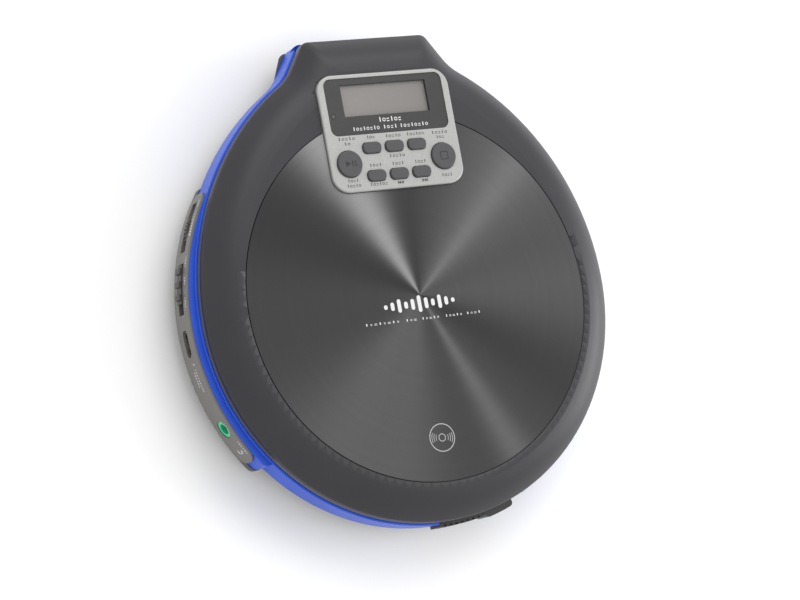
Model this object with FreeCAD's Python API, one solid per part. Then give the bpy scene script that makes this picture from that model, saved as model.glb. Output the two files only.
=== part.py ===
"""Portable disc player: a round player with a hinged lid, built as its separate pieces.

Frame: origin on the table under the spindle, +Z out of the lid, +Y towards the hinge.
All sizes are in millimetres and all angles in degrees.
"""
import FreeCAD, Part
import math
import os

from FreeCAD import Vector

# ---- the disc that the player is made for ----
DISC_RADIUS = 60.0
DISC_HOLE_RADIUS = 7.5

# ---- plan outline: a circle that flares into a hinge lobe at the back ----
CASE_RADIUS = 69.7
FLANK_RADIUS = CASE_RADIUS + 14.5
FLANK_TURN = 57.0
WAIST_RADIUS = 16.0
WAIST_TURN = 24.0
BACK_EDGE = CASE_RADIUS + 14.0
CORNER_RADIUS = 3.0
BASE_WAIST_RADIUS = 10.0
BASE_WAIST_TURN = 34.0

# ---- heights above the table ----
FOOT_HEIGHT = 1.5
BAND_BOTTOM = 8.5
LID_SEAM = 17.6
SEAM_GAP = 0.15
LID_SIDE_HEIGHT = 3.2
DOME_RISE = 6.2
LID_TOP = LID_SEAM + LID_SIDE_HEIGHT + DOME_RISE

# ---- walls and clearances ----
LID_WALL = 1.8
LID_ROOF = 2.0
BAND_WALL = 1.9
BASE_WALL = 1.7
DOME_WIDTH = 11.7
DOME_POWER = 2.2
PART_GAP = 0.15
GUIDE_GAP = 0.2
MOVE_GAP = 0.3
RUNNING_GAP = 0.05
EPSILON = 0.01

# ---- well for the disc ----
DISC_SEAT = 20.0
WELL_RADIUS = DISC_RADIUS + 1.6
WELL_RIM_WIDTH = 3.9
WELL_RIM_TOP = 20.4
TRAY_FLOOR = 18.75
TRAY_THICKNESS = 0.8
DECK_TOP = 17.35
DECK_THICKNESS = 0.6
SKIRT_WALL = 1.0

# ---- brushed insert in the lid ----
INSERT_RADIUS = CASE_RADIUS - 11.7
INSERT_THICKNESS = 0.8

# ---- control panel on the lid ----
BEZEL_WIDTH = 46.0
BEZEL_DEPTH = 37.2
BEZEL_CENTRE_Y = BACK_EDGE - 31.4
BEZEL_PROUD = 1.0
BEZEL_CORNER = 5.6
BEZEL_PLATE = 1.1
BEZEL_WALL = 1.2
BEZEL_FOOT = 24.9
WINDOW_WIDTH = 41.0
WINDOW_DEPTH = 17.8
WINDOW_CENTRE_Y = BEZEL_CENTRE_Y + 8.3
WINDOW_CORNER = 2.4
WINDOW_THICKNESS = 0.9
WINDOW_SINK = 0.3
DISPLAY_WIDTH = 33.0
DISPLAY_DEPTH = 13.4
DISPLAY_CENTRE_Y = WINDOW_CENTRE_Y + 1.9
DISPLAY_THICKNESS = 1.3
LAMP_X = -18.9
LAMP_Y = WINDOW_CENTRE_Y - 2.7
LAMP_RADIUS = 0.6
ROUND_BUTTON_RADIUS = 4.2
ROUND_BUTTON_X = 16.45
ROUND_BUTTON_Y = BEZEL_CENTRE_Y - 9.7
SMALL_BUTTON_WIDTH = 6.3
SMALL_BUTTON_DEPTH = 3.4
SMALL_BUTTON_CORNER = 1.4
SMALL_BUTTON_PITCH = 7.87
SMALL_BUTTON_ROWS = (BEZEL_CENTRE_Y - 5.2, BEZEL_CENTRE_Y - 14.0)
BUTTON_PROUD = 0.8
BUTTON_FLANGE = 0.6
BUTTON_LIP = 0.5
BUTTON_TRAVEL = 0.5
BUTTON_FLOAT = 0.05

# ---- boards and cover inside the lid ----
LINER_BOTTOM = 22.9
LINER_THICKNESS = 0.8
LINER_INSET = 6.0
LINER_BACK = BACK_EDGE - 11.7
LINER_HUB_HOLE = 9.6
LID_BOARD_THICKNESS = 0.8
LID_BOARD_GAP = 0.25
KEYPAD_THICKNESS = 0.4

# ---- hinge at the back of the lobe ----
HINGE_Y = BACK_EDGE - 2.0
HINGE_Z = 18.0
PIN_RADIUS = 0.75
PIN_INNER_X = 4.4
PIN_OUTER_X = 19.2
KNUCKLE_RADIUS = 2.0
KNUCKLE_SPANS = ((8.4, 11.6), (16.4, 19.0))
EAR_RADIUS = 1.9
EAR_SPAN = (12.0, 16.0)
SCOOP_RADIUS = 3.8
SCOOP_HALF_LENGTH = 23.0
LID_SPRING_COILS = 5
LID_SPRING_END = 8.0
SPRING_ROOM_RADIUS = 1.5
LID_SPRING_WIRE = 0.25
LID_SPRING_RADIUS = 1.07

# ---- side control panel on the left ----
PANEL_RADIUS = CASE_RADIUS + 3.5
PANEL_THICKNESS = 1.6
PANEL_START = 146.0
PANEL_END = 215.5
PANEL_BOTTOM = 7.0
PANEL_TOP = 16.6
PANEL_CORNER = 3.6
BULGE_RADIUS = PANEL_RADIUS - 0.7
BULGE_MARGIN = 3.6
BULGE_ROUND = 2.4
BULGE_BASE_BOTTOM = 3.6
CONTROL_Z = 11.7
CONTROL_SLOT_HEIGHT = 3.6

WHEEL_ANGLE = 155.0
WHEEL_RADIUS = 9.0
WHEEL_THICKNESS = 2.6
WHEEL_PROUD = 0.5
WHEEL_KNURLS = 48
KNURL_DEPTH = 0.35
WHEEL_WINDOW_HALF = 6.4
POT_RADIUS = 6.5
POT_THICKNESS = 0.8
POT_SHAFT_RADIUS = 1.5

SWITCH_KNOB_START = 164.6
SWITCH_KNOB_END = 174.0
SWITCH_TRAVEL = 2.3
SWITCH_SLOT_MARGIN = 0.35
SWITCH_PROUD = 1.0
SWITCH_STEM_HALF = 1.6
SWITCH_RIDGES = 3
SWITCH_BODY_OUTER = PANEL_RADIUS - 4.9
SWITCH_BODY_DEPTH = 4.2

USB_ANGLE = 183.6
USB_WIDTH = 7.5
USB_HEIGHT = 2.5
USB_DEPTH = 5.6
USB_WALL = 0.3
USB_SINK = 0.6

JACK_ANGLE = 205.6
JACK_BORE_RADIUS = 1.8
JACK_BORE_DEPTH = 12.0
JACK_COLLAR_RADIUS = 2.75
JACK_BODY_WIDTH = 6.4
JACK_BODY_HEIGHT = 5.0
JACK_WALL = 1.0

# ---- main board ----
BOARD_BOTTOM = 8.4
BOARD_THICKNESS = 1.0
BOARD_RIGHT = -31.0
BOARD_HALF_LENGTH = 46.0
BOARD_INSET = 6.5
CHIP_HEIGHT = 1.2

# ---- open slider and latch at the front ----
SLIDER_START = 268.3
SLIDER_BUMP = 281.5
SLIDER_END = 290.0
SLIDER_TRAVEL = 3.3
SLIDER_BOTTOM = 9.9
SLIDER_TOP = 15.9
SLIDER_THUMB_TOP = 16.9
SLIDER_OUTER = CASE_RADIUS + 1.5
SLIDER_BUMP_PROUD = 0.9
SLIDER_BACK = CASE_RADIUS - 0.5
SLIDER_RIBS = 8
RIB_DEPTH = 0.7
POCKET_FLOOR = CASE_RADIUS - 0.8
NECK_HALF_HEIGHT = 1.2
NECK_HALF_ANGLE = 5.0
INNER_PLATE_OUTER = CASE_RADIUS - 3.1
INNER_PLATE_THICKNESS = 1.5
CATCH_REACH = 3.2
CATCH_THICKNESS = 1.0
HOOK_THICKNESS = 1.6
HOOK_RADIUS = CASE_RADIUS - 6.3
HOOK_ANGLE = 274.5
HOOK_HALF_ANGLE = 2.2
HOOK_BOTTOM = 12.4
NOSE_ANGLE = 0.8

# ---- batteries (two AA cells) ----
CELL_RADIUS = 7.25
CELL_LENGTH = 50.5
NUB_RADIUS = 2.75
NUB_LENGTH = 1.3
CELL_START_X = 13.7
CELL_START_Y = -41.5
CELL_GAP = 0.3
CELL_FLOOR_GAP = 0.3
CELL_END_ROOM = 2.0
BAY_WALL = 0.7
BAY_WALL_TOP = 11.6
DOOR_THICKNESS = 1.5
DOOR_LIP_TOP = 6.0
DOOR_TRAVEL = 8.0
CONTACT_THICKNESS = 0.4

# ---- disc mechanism ----
CHASSIS_BOTTOM = 12.0
CHASSIS_THICKNESS = 1.2
MOTOR_RADIUS = 10.0
MOTOR_BOTTOM = 5.4
SHAFT_RADIUS = 0.75
TURNTABLE_RADIUS = 12.5
TURNTABLE_THICKNESS = 1.4
HUB_TOP = 22.0
HUB_CROWN = 0.6
HUB_RADIUS = DISC_HOLE_RADIUS - 0.05
CLAMP_BALL_RADIUS = 0.8
CLAMP_BALLS = 3
CLAMP_BALL_START = 75.0
ROD_X = 12.5
ROD_Z = 15.2
ROD_RADIUS = 1.0
ROD_START_Y = 9.6
ROD_END_Y = 72.0
SLED_START_Y = 14.0
SLED_LENGTH = 16.0
SLED_HALF_WIDTH = 15.0
SLED_BOTTOM = 13.6
SLED_TOP = 17.0
SLED_TRAVEL = 34.0
LENS_Y = 23.5
LENS_RADIUS = 2.6
LENS_TRAVEL = 0.4
LENS_HOLDER_RADIUS = LENS_RADIUS + 1.0
SLOT_START_Y = 10.0
SLOT_WIDTH = 21.0
SLOT_CORNER = 3.0
RACK_MODULE = 0.5
RACK_PITCH_X = -17.4
RACK_START_Y = -5.5
RACK_END_Y = 36.5
GEAR_Y = 33.0
GEAR_SMALL_TEETH = 12
GEAR_LARGE_TEETH = 40
WHEEL_MODULE = 0.4
PINION_TEETH = 10
GEAR_BOTTOM = 9.8
GEAR_THICKNESS = 1.5
TOOTH_SHARE = 0.40
GEAR_PIN_RADIUS = 0.75
SLED_MOTOR_RADIUS = 6.0

# ---- pin under the lid and the switch that it works ----
PLUNGER_CIRCLE = CASE_RADIUS - 5.5
PLUNGER_ANGLE = 50.0
PLUNGER_RADIUS = 1.1
PLUNGER_TRAVEL = 1.0
PLUNGER_TOP = 21.2
SENSE_SWITCH_BOTTOM = 9.2
SENSE_SWITCH_TOP = 12.7

# ---- feet and screws ----
FOOT_RADIUS = 5.0
FOOT_CIRCLE = CASE_RADIUS - 8.4
FOOT_ANGLES = (62.0, 118.0, 242.0, 298.0)
CASE_SCREW_CIRCLE = CASE_RADIUS - 9.5
CASE_SCREW_ANGLES = (24.0, 132.0, 227.0, 308.0)
SCREW_HEAD_RADIUS = 2.0
SCREW_SHANK_RADIUS = 0.9
SCREW_HEAD_HEIGHT = 1.2
CASE_SCREW_LENGTH = 11.0
LINER_SCREW_LENGTH = 2.4

Z_AXIS = Vector(0, 0, 1)
X_AXIS = Vector(1, 0, 0)


# ---------------------------------------------------------------- helpers
def polar(radius, angle, z=0.0):
    """Point at a radius and an angle about the spindle."""
    turn = math.radians(angle)
    return Vector(radius * math.cos(turn), radius * math.sin(turn), z)


def box(x0, x1, y0, y1, z0, z1):
    """Axis-aligned block between two corners."""
    return Part.makeBox(x1 - x0, y1 - y0, z1 - z0, Vector(x0, y0, z0))


def post(x, y, z0, z1, radius):
    """Upright cylinder."""
    return Part.makeCylinder(radius, z1 - z0, Vector(x, y, z0), Z_AXIS)


def cross_rod(x0, x1, y, z, radius):
    """Cylinder along X."""
    return Part.makeCylinder(radius, x1 - x0, Vector(x0, y, z), X_AXIS)


def tube(radius_in, radius_out, z0, z1):
    """Ring about the spindle."""
    return post(0, 0, z0, z1, radius_out).cut(post(0, 0, z0 - 1, z1 + 1, radius_in))


def sector(radius_in, radius_out, z0, z1, start, end):
    """Part of a ring about the spindle between two angles."""
    corners = [Vector(radius_in, 0, z0), Vector(radius_out, 0, z0),
               Vector(radius_out, 0, z1), Vector(radius_in, 0, z1)]
    face = Part.Face(Part.makePolygon(corners + corners[:1]))
    solid = face.revolve(Vector(0, 0, 0), Z_AXIS, end - start)
    solid.rotate(Vector(0, 0, 0), Z_AXIS, start)
    return solid


def rounded_slab(centre_y, width, depth, corner, z0, z1, centre_x=0.0):
    """Upright block with rounded vertical corners."""
    solid = box(centre_x - width / 2, centre_x + width / 2,
                centre_y - depth / 2, centre_y + depth / 2, z0, z1)
    return solid.makeFillet(corner, vertical_edges(solid))


def vertical_edges(solid):
    """Straight edges that run along Z."""
    return [edge for edge in solid.Edges if is_along(edge, 2)]


def is_along(edge, axis):
    """True for a straight edge that changes only one coordinate."""
    first = edge.Vertexes[0].Point
    last = edge.Vertexes[-1].Point
    others = [abs(last[i] - first[i]) for i in range(3) if i != axis]
    return max(others) < EPSILON and abs(last[axis] - first[axis]) > EPSILON


def cut_all(solid, tools):
    """Cuts each tool from a solid."""
    for tool in tools:
        solid = solid.cut(tool)
    return solid


def fuse_all(solids):
    """Joins solids into one and merges split faces."""
    joined = solids[0]
    for solid in solids[1:]:
        joined = joined.fuse(solid)
    return joined.removeSplitter()


def arc(centre, radius, start, end):
    """Arc edge in the XY plane from one angle to another, either way round."""
    middle = (start + end) / 2
    points = [centre + polar(radius, angle) for angle in (start, middle, end)]
    return Part.Arc(*points).toShape()


def export(name, shape):
    """Writes one named piece."""
    shape.exportStep("parts/" + name + ".step")


# ---------------------------------------------------------------- case outline
def outline(inset, z, waist_radius=WAIST_RADIUS, waist_turn=WAIST_TURN):
    """Closed wire of the case outline, moved inwards by inset, at height z."""
    base = Vector(0, 0, z)
    front = CASE_RADIUS - inset
    flank_centre = Vector(CASE_RADIUS - FLANK_RADIUS, 0, z)
    waist_centre = flank_centre + polar(FLANK_RADIUS + waist_radius, FLANK_TURN)
    waist_end_angle = FLANK_TURN + 180 - waist_turn
    waist_end = waist_centre + polar(waist_radius + inset, waist_end_angle)
    heading = FLANK_TURN + 90 - waist_turn
    inward = polar(1.0, heading + 90)
    back = BACK_EDGE - inset
    run = (back - CORNER_RADIUS - waist_end.y - CORNER_RADIUS * inward.y) / math.sin(math.radians(heading))
    corner = waist_end + polar(run, heading) + inward * CORNER_RADIUS
    side_end = corner - inward * CORNER_RADIUS
    back_end = Vector(corner.x, back, z)
    right = [
        arc(flank_centre, FLANK_RADIUS - inset, 0, FLANK_TURN),
        arc(waist_centre, waist_radius + inset, FLANK_TURN + 180, waist_end_angle),
        Part.makeLine(waist_end, side_end),
        arc(corner, CORNER_RADIUS, heading - 90, 90),
    ]
    left = [edge.mirror(base, X_AXIS) for edge in right]
    rear = Part.makeLine(back_end, Vector(-back_end.x, back, z))
    nose = arc(base, front, 180, 360)
    ordered = right + [rear] + left[::-1] + [nose]
    return Part.Wire(Part.__sortEdges__(ordered))


def prism(inset, z0, z1):
    """Straight-sided solid on the case outline."""
    return Part.Face(outline(inset, z0)).extrude(Vector(0, 0, z1 - z0))


def skin(levels, **waist):
    """Solid through a stack of case outlines, given as (inset, z) from the bottom up."""
    return Part.makeLoft([outline(inset, z, **waist) for inset, z in levels], True, True)


def dome_height(inset):
    """Height of the lid's outer surface over a point that far inside its edge."""
    share = max(0.0, (DOME_WIDTH - inset) / DOME_WIDTH)
    return LID_TOP - DOME_RISE * share ** DOME_POWER


def base_levels(shrink):
    """Outer shape of the bottom case, moved inwards."""
    floor = FOOT_HEIGHT + shrink
    return [(8.5 + shrink * 0.4, floor), (5.2 + shrink * 0.7, floor + 1.1), (3.0 + shrink, floor + 3.1),
            (1.2 + shrink, floor + 5.2), (0.2 + shrink, BAND_BOTTOM)]


# ---------------------------------------------------------------- lid
def lid_dome():
    """Outer form of the lid, solid."""
    edge = LID_SEAM + LID_SIDE_HEIGHT
    insets = (0.4, 0.8, 1.3, 1.9, 2.6, 3.4, 4.3, 5.3, 6.4, 7.7, 9.2, DOME_WIDTH)
    rim = [(0.0, LID_SEAM), (0.0, edge - 0.3), (0.12, edge + 0.12)]
    return skin(rim + [(inset, dome_height(inset)) for inset in insets])


def lid_cavity():
    """Hollow of the lid, open below."""
    roof = LID_TOP - LID_ROOF
    side = LID_SEAM + LID_SIDE_HEIGHT
    levels = [(LID_WALL, LID_SEAM - 1), (LID_WALL, side - 0.8), (3.0, side + 0.9), (4.2, side + 2.1),
              (5.6, side + 3.2), (8.0, roof)]
    return skin(levels)


def bezel_block(grow, z0, z1):
    """Rounded block on the control panel's outline, grown all round."""
    return rounded_slab(BEZEL_CENTRE_Y, BEZEL_WIDTH + 2 * grow, BEZEL_DEPTH + 2 * grow,
                        BEZEL_CORNER + grow, z0, z1)


def both_sides(span, make):
    """Makes a piece over a span of X on the right and on the left."""
    return [make(span[0], span[1]), make(-span[1], -span[0])]


def hinge_barrel(x0, x1, radius):
    """Cylinder about the hinge axis."""
    return cross_rod(x0, x1, HINGE_Y, HINGE_Z, radius)


def lid_knuckles(dome):
    """Hinge knuckles with webs that join them to the lid's roof and back wall."""
    solids = []
    for span in KNUCKLE_SPANS:
        solids += both_sides(span, lambda x0, x1: hinge_barrel(x0, x1, KNUCKLE_RADIUS))
        solids += both_sides(span, lambda x0, x1: box(x0, x1, HINGE_Y - KNUCKLE_RADIUS, BACK_EDGE - EPSILON,
                                                      HINGE_Z, LID_TOP).common(dome))
    return solids


def make_lid_shell():
    """Domed lid with the recess for its insert, the opening for its panel and its half of the hinge."""
    dome = lid_dome()
    recess = post(0, 0, LID_TOP - INSERT_THICKNESS, LID_TOP + 1, INSERT_RADIUS + MOVE_GAP)
    opening = bezel_block(PART_GAP, LINER_BOTTOM, LID_TOP + 1)
    ears = both_sides((EAR_SPAN[0] - MOVE_GAP, EAR_SPAN[1] + MOVE_GAP),
                      lambda x0, x1: box(x0, x1, HINGE_Y - 3.2, BACK_EDGE + 1,
                                         LID_SEAM - 1, HINGE_Z + 2.9))
    shell = cut_all(dome, [lid_cavity(), recess, opening] + ears)
    bosses = [post(x, y, LINER_BOTTOM + LINER_THICKNESS, LID_TOP - LID_ROOF + 0.3, 2.4)
              for x, y in liner_screw_places()]
    shell = fuse_all([shell] + lid_knuckles(dome) + bosses)
    holes = [post(x, y, LINER_BOTTOM, LID_TOP - 1.4, SCREW_SHANK_RADIUS) for x, y in liner_screw_places()]
    pins = both_sides((PIN_INNER_X, PIN_OUTER_X + 0.2),
                      lambda x0, x1: hinge_barrel(x0, x1, PIN_RADIUS + RUNNING_GAP))
    pins += both_sides((PIN_INNER_X - 0.4, KNUCKLE_SPANS[0][0]),
                       lambda x0, x1: hinge_barrel(x0, x1, SPRING_ROOM_RADIUS))
    return cut_all(shell, holes + pins)


def make_lid_insert():
    """Thin round metal plate let into the lid, cut away round the control panel."""
    plate = post(0, 0, LID_TOP - INSERT_THICKNESS, LID_TOP, INSERT_RADIUS)
    return plate.cut(bezel_block(PART_GAP, LID_TOP - 2, LID_TOP + 1))


def liner_screw_places():
    """Centres of the screws that hold the lid's inner cover."""
    return [(-50.0, -18.0), (50.0, -18.0), (-44.0, 36.0), (44.0, 36.0), (-27.0, -47.0), (27.0, -47.0)]


def make_lid_liner():
    """Inner cover of the lid, with a hole over the hub."""
    top = LINER_BOTTOM + LINER_THICKNESS
    plate = prism(LINER_INSET, LINER_BOTTOM, top)
    plate = plate.cut(box(-80, 80, LINER_BACK, 90, LINER_BOTTOM - 1, top + 1))
    plate = plate.cut(post(0, 0, LINER_BOTTOM - 1, top + 1, LINER_HUB_HOLE))
    plate = plate.cut(hook_block(LINER_BOTTOM - 1, top + 1, MOVE_GAP))
    holes = [post(x, y, LINER_BOTTOM - 1, top + 1, SCREW_SHANK_RADIUS + PART_GAP)
             for x, y in liner_screw_places()]
    return cut_all(plate, holes)


def screw_up(x, y, head_bottom, head_height, length):
    """Screw driven upwards: a domed head with a cross recess below its shank."""
    head = post(x, y, head_bottom, head_bottom + head_height, SCREW_HEAD_RADIUS)
    shank = post(x, y, head_bottom + head_height - EPSILON, head_bottom + length, SCREW_SHANK_RADIUS)
    slot = head_height * 0.5
    cross = [box(x - 1.2, x + 1.2, y - 0.25, y + 0.25, head_bottom - 1, head_bottom + slot),
             box(x - 0.25, x + 0.25, y - 1.2, y + 1.2, head_bottom - 1, head_bottom + slot)]
    return cut_all(head.fuse(shank), cross)


def make_liner_screws():
    """Screws that hold the inner cover."""
    head = 0.6
    return Part.makeCompound([screw_up(x, y, LINER_BOTTOM - head, head, LINER_SCREW_LENGTH + head)
                              for x, y in liner_screw_places()])


def hook_block(z0, z1, grow):
    """Sector that the lid's hook takes up."""
    return sector(HOOK_RADIUS - grow, HOOK_RADIUS + HOOK_THICKNESS + grow, z0, z1,
                  HOOK_ANGLE - HOOK_HALF_ANGLE - grow, HOOK_ANGLE + HOOK_HALF_ANGLE + grow)


def make_lid_hook():
    """Tongue that hangs from the lid and reaches down to the latch."""
    tongue = hook_block(HOOK_BOTTOM, LID_SEAM, 0).fuse(hook_block(LID_SEAM - 1, LID_TOP, 0).common(lid_cavity()))
    nose = sector(HOOK_RADIUS, HOOK_RADIUS + HOOK_THICKNESS, HOOK_BOTTOM, HOOK_BOTTOM + 1.6,
                  HOOK_ANGLE, HOOK_ANGLE + HOOK_HALF_ANGLE + NOSE_ANGLE)
    return fuse_all([tongue, nose])


# ---------------------------------------------------------------- control panel on the lid
def small_button_places():
    """Function name and centre of each small button, back row first."""
    names = (("anti_shock_button", "bass_button", "folder_button"),
             ("mode_button", "back_button", "next_button"))
    return [(names[row][col], (col - 1) * SMALL_BUTTON_PITCH, SMALL_BUTTON_ROWS[row])
            for row in range(2) for col in range(3)]


def round_button_places():
    """Function name and centre of each round button."""
    return [("play_button", -ROUND_BUTTON_X, ROUND_BUTTON_Y),
            ("stop_button", ROUND_BUTTON_X, ROUND_BUTTON_Y)]


def small_key(x, y, grow, z0, z1):
    """Upright block on a small button's outline."""
    return rounded_slab(y, SMALL_BUTTON_WIDTH + 2 * grow, SMALL_BUTTON_DEPTH + 2 * grow,
                        SMALL_BUTTON_CORNER + grow, z0, z1, x)


def bezel_top():
    """Height of the control panel's face."""
    return LID_TOP + BEZEL_PROUD


def window_bottom():
    """Height of the display window's underside."""
    return bezel_top() - WINDOW_SINK - WINDOW_THICKNESS


def make_panel_bezel():
    """Frame of the control panel with its window seat and its button holes."""
    top = bezel_top()
    plate_bottom = top - BEZEL_PLATE
    block = bezel_block(0, BEZEL_FOOT, top)
    upper = [edge for edge in block.Edges if edge.BoundBox.ZMin > top - EPSILON]
    block = block.makeFillet(0.5, upper)
    hollow = bezel_block(-BEZEL_WALL, BEZEL_FOOT - 1, plate_bottom)
    window = rounded_slab(WINDOW_CENTRE_Y, WINDOW_WIDTH + 2 * PART_GAP, WINDOW_DEPTH + 2 * PART_GAP,
                          WINDOW_CORNER, plate_bottom - 1, top + 1)
    holes = [post(x, y, plate_bottom - 1, top + 1, ROUND_BUTTON_RADIUS + GUIDE_GAP)
             for _, x, y in round_button_places()]
    holes += [small_key(x, y, GUIDE_GAP, plate_bottom - 1, top + 1) for _, x, y in small_button_places()]
    ledge = rounded_slab(WINDOW_CENTRE_Y, WINDOW_WIDTH + 2.0, WINDOW_DEPTH - 0.4, WINDOW_CORNER,
                         window_bottom() - 0.9, window_bottom())
    ledge = ledge.cut(rounded_slab(DISPLAY_CENTRE_Y, DISPLAY_WIDTH + 2 * PART_GAP, DISPLAY_DEPTH + 2 * PART_GAP,
                                   0.6, window_bottom() - 2, window_bottom() + 1))
    ledge = ledge.cut(post(LAMP_X, LAMP_Y, window_bottom() - 2, window_bottom() + 1, LAMP_RADIUS + PART_GAP))
    frame = cut_all(block, [hollow, window] + holes)
    return fuse_all([frame, ledge.common(bezel_block(-0.1, BEZEL_FOOT, top))])


def make_display_window():
    """Flat tinted window over the display, with a hole for the lamp."""
    pane = rounded_slab(WINDOW_CENTRE_Y, WINDOW_WIDTH, WINDOW_DEPTH, WINDOW_CORNER,
                        window_bottom(), bezel_top() - WINDOW_SINK)
    return pane.cut(post(LAMP_X, LAMP_Y, LID_TOP - 2, LID_TOP + 2, LAMP_RADIUS + PART_GAP))


def make_display_module():
    """Liquid-crystal glass under the window."""
    top = window_bottom() - EPSILON
    return box(-DISPLAY_WIDTH / 2, DISPLAY_WIDTH / 2, DISPLAY_CENTRE_Y - DISPLAY_DEPTH / 2,
               DISPLAY_CENTRE_Y + DISPLAY_DEPTH / 2, top - DISPLAY_THICKNESS, top)


def board_top_in_lid():
    """Height of the upper face of the control board."""
    return LINER_BOTTOM + LINER_THICKNESS + LID_BOARD_GAP + LID_BOARD_THICKNESS


def make_status_lamp():
    """Light guide from the board to the window's face."""
    return post(LAMP_X, LAMP_Y, board_top_in_lid(), bezel_top() - WINDOW_SINK + 0.05, LAMP_RADIUS)


def make_control_board():
    """Circuit board behind the control panel."""
    top = board_top_in_lid()
    return rounded_slab(BEZEL_CENTRE_Y, BEZEL_WIDTH - 3.0, BEZEL_DEPTH - 3.0, 3.0, top - LID_BOARD_THICKNESS, top)


def make_keypad_mat():
    """Rubber contact mat under the buttons."""
    bottom = board_top_in_lid()
    back = SMALL_BUTTON_ROWS[0] + 3.4
    front = SMALL_BUTTON_ROWS[1] - 3.0
    return rounded_slab((back + front) / 2, 2 * ROUND_BUTTON_X + 8.6, back - front, 4.2,
                        bottom, bottom + KEYPAD_THICKNESS)


def button_bottom():
    """Height of a button's underside at rest, clear of the mat by its travel."""
    return board_top_in_lid() + KEYPAD_THICKNESS + BUTTON_TRAVEL + BUTTON_FLOAT


def flange_top():
    """Height of a button's flange, just under the panel's plate."""
    return bezel_top() - BEZEL_PLATE - BUTTON_FLOAT


def make_round_button(x, y):
    """Round key with a crowned edge and a flange that keeps it in the panel."""
    cap = post(x, y, button_bottom(), bezel_top() + BUTTON_PROUD, ROUND_BUTTON_RADIUS)
    rim = [edge for edge in cap.Edges if edge.BoundBox.ZMin > bezel_top() + BUTTON_PROUD - EPSILON]
    cap = cap.makeFillet(0.4, rim)
    flange = post(x, y, button_bottom(), flange_top(), ROUND_BUTTON_RADIUS + BUTTON_LIP)
    return fuse_all([cap, flange])


def make_small_button(x, y):
    """Oblong key with a flange that keeps it in the panel."""
    cap = small_key(x, y, 0, button_bottom(), bezel_top() + BUTTON_PROUD)
    rim = [edge for edge in cap.Edges if edge.BoundBox.ZMin > bezel_top() + BUTTON_PROUD - EPSILON]
    cap = cap.makeFillet(0.35, rim)
    flange = small_key(x, y, BUTTON_LIP, button_bottom(), flange_top())
    return fuse_all([cap, flange])


def make_ribbon_cable():
    """Flat cable from the control board to the hinge, under the lid's roof."""
    z = LINER_BOTTOM + LINER_THICKNESS + 0.02
    return box(-5.0, 5.0, BEZEL_CENTRE_Y + BEZEL_DEPTH / 2 - 6.0, LINER_BACK + 3.0, z, z + 0.2)


# ---------------------------------------------------------------- middle case and tray
def bulge(radius, z0, z1, margin):
    """Sector that carries the side panel, rounded at its two ends."""
    block = sector(CASE_RADIUS - 4.0, radius, z0, z1, PANEL_START - margin, PANEL_END + margin)
    ends = [edge for edge in vertical_edges(block)
            if math.hypot(edge.Vertexes[0].X, edge.Vertexes[0].Y) > radius - EPSILON]
    return block.makeFillet(BULGE_ROUND, ends)


def band_inner(z0, z1):
    """Hollow of the blue band."""
    return skin([(3.0, z0), (3.0, BAND_BOTTOM), (-0.5 + BAND_WALL, LID_SEAM - 1.5), (-0.5 + BAND_WALL, z1)])


def panel_block(grow, z0, z1, depth):
    """Curved block on the side panel's outline."""
    angle = math.degrees(grow / PANEL_RADIUS)
    block = sector(PANEL_RADIUS - depth, PANEL_RADIUS, z0, z1, PANEL_START - angle, PANEL_END + angle)
    corners = [edge for edge in block.Edges
               if edge.Length < depth + EPSILON and edge.BoundBox.ZLength < EPSILON]
    return block.makeFillet(PANEL_CORNER + grow, corners)


def slider_pocket():
    """Recess and slot in the band for the open slider."""
    recess = sector(POCKET_FLOOR, SLIDER_OUTER + 3, SLIDER_BOTTOM - MOVE_GAP, LID_SEAM + 1,
                    SLIDER_START - 0.4, SLIDER_END + SLIDER_TRAVEL + 0.4)
    neck = neck_sector(INNER_PLATE_OUTER - 3, POCKET_FLOOR + 1, MOVE_GAP, SLIDER_TRAVEL)
    return [recess, neck]


def slider_middle():
    """Angle of the middle of the open slider."""
    return (SLIDER_START + SLIDER_END) / 2


def neck_sector(radius_in, radius_out, grow, travel):
    """Neck that joins the slider's thumb piece to its inner plate."""
    middle_z = (SLIDER_BOTTOM + SLIDER_TOP) / 2
    grow_angle = math.degrees(grow / CASE_RADIUS)
    return sector(radius_in, radius_out, middle_z - NECK_HALF_HEIGHT - grow, middle_z + NECK_HALF_HEIGHT + grow,
                  slider_middle() - NECK_HALF_ANGLE - grow_angle,
                  slider_middle() + NECK_HALF_ANGLE + travel + grow_angle)


def make_mid_case():
    """Blue band of the body with the bulge for the side panel and the ears of the hinge."""
    top = LID_SEAM - SEAM_GAP
    band = skin([(-0.5, BAND_BOTTOM), (-0.7, top - 1.0), (-0.7, top - 0.35), (-0.4, top)])
    band = band.fuse(bulge(BULGE_RADIUS, BAND_BOTTOM, top - 0.6, BULGE_MARGIN))
    scoop = hinge_barrel(-SCOOP_HALF_LENGTH, SCOOP_HALF_LENGTH, SCOOP_RADIUS)
    band = cut_all(band, [band_inner(BAND_BOTTOM - 1, LID_SEAM + 1), scoop,
                          panel_block(PART_GAP, PANEL_BOTTOM - PART_GAP, PANEL_TOP + PART_GAP,
                                      PANEL_THICKNESS + PART_GAP)] + slider_pocket() + control_passages())
    ears = both_sides(EAR_SPAN, lambda x0, x1: hinge_barrel(x0, x1, EAR_RADIUS))
    ears += both_sides(EAR_SPAN, lambda x0, x1: box(x0, x1, HINGE_Y - EAR_RADIUS, HINGE_Y + EAR_RADIUS,
                                                    BAND_BOTTOM + 2, HINGE_Z))
    band = fuse_all([band] + ears)
    pins = both_sides((PIN_INNER_X, PIN_OUTER_X), lambda x0, x1: hinge_barrel(x0, x1, PIN_RADIUS))
    return cut_all(band, pins)


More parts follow.
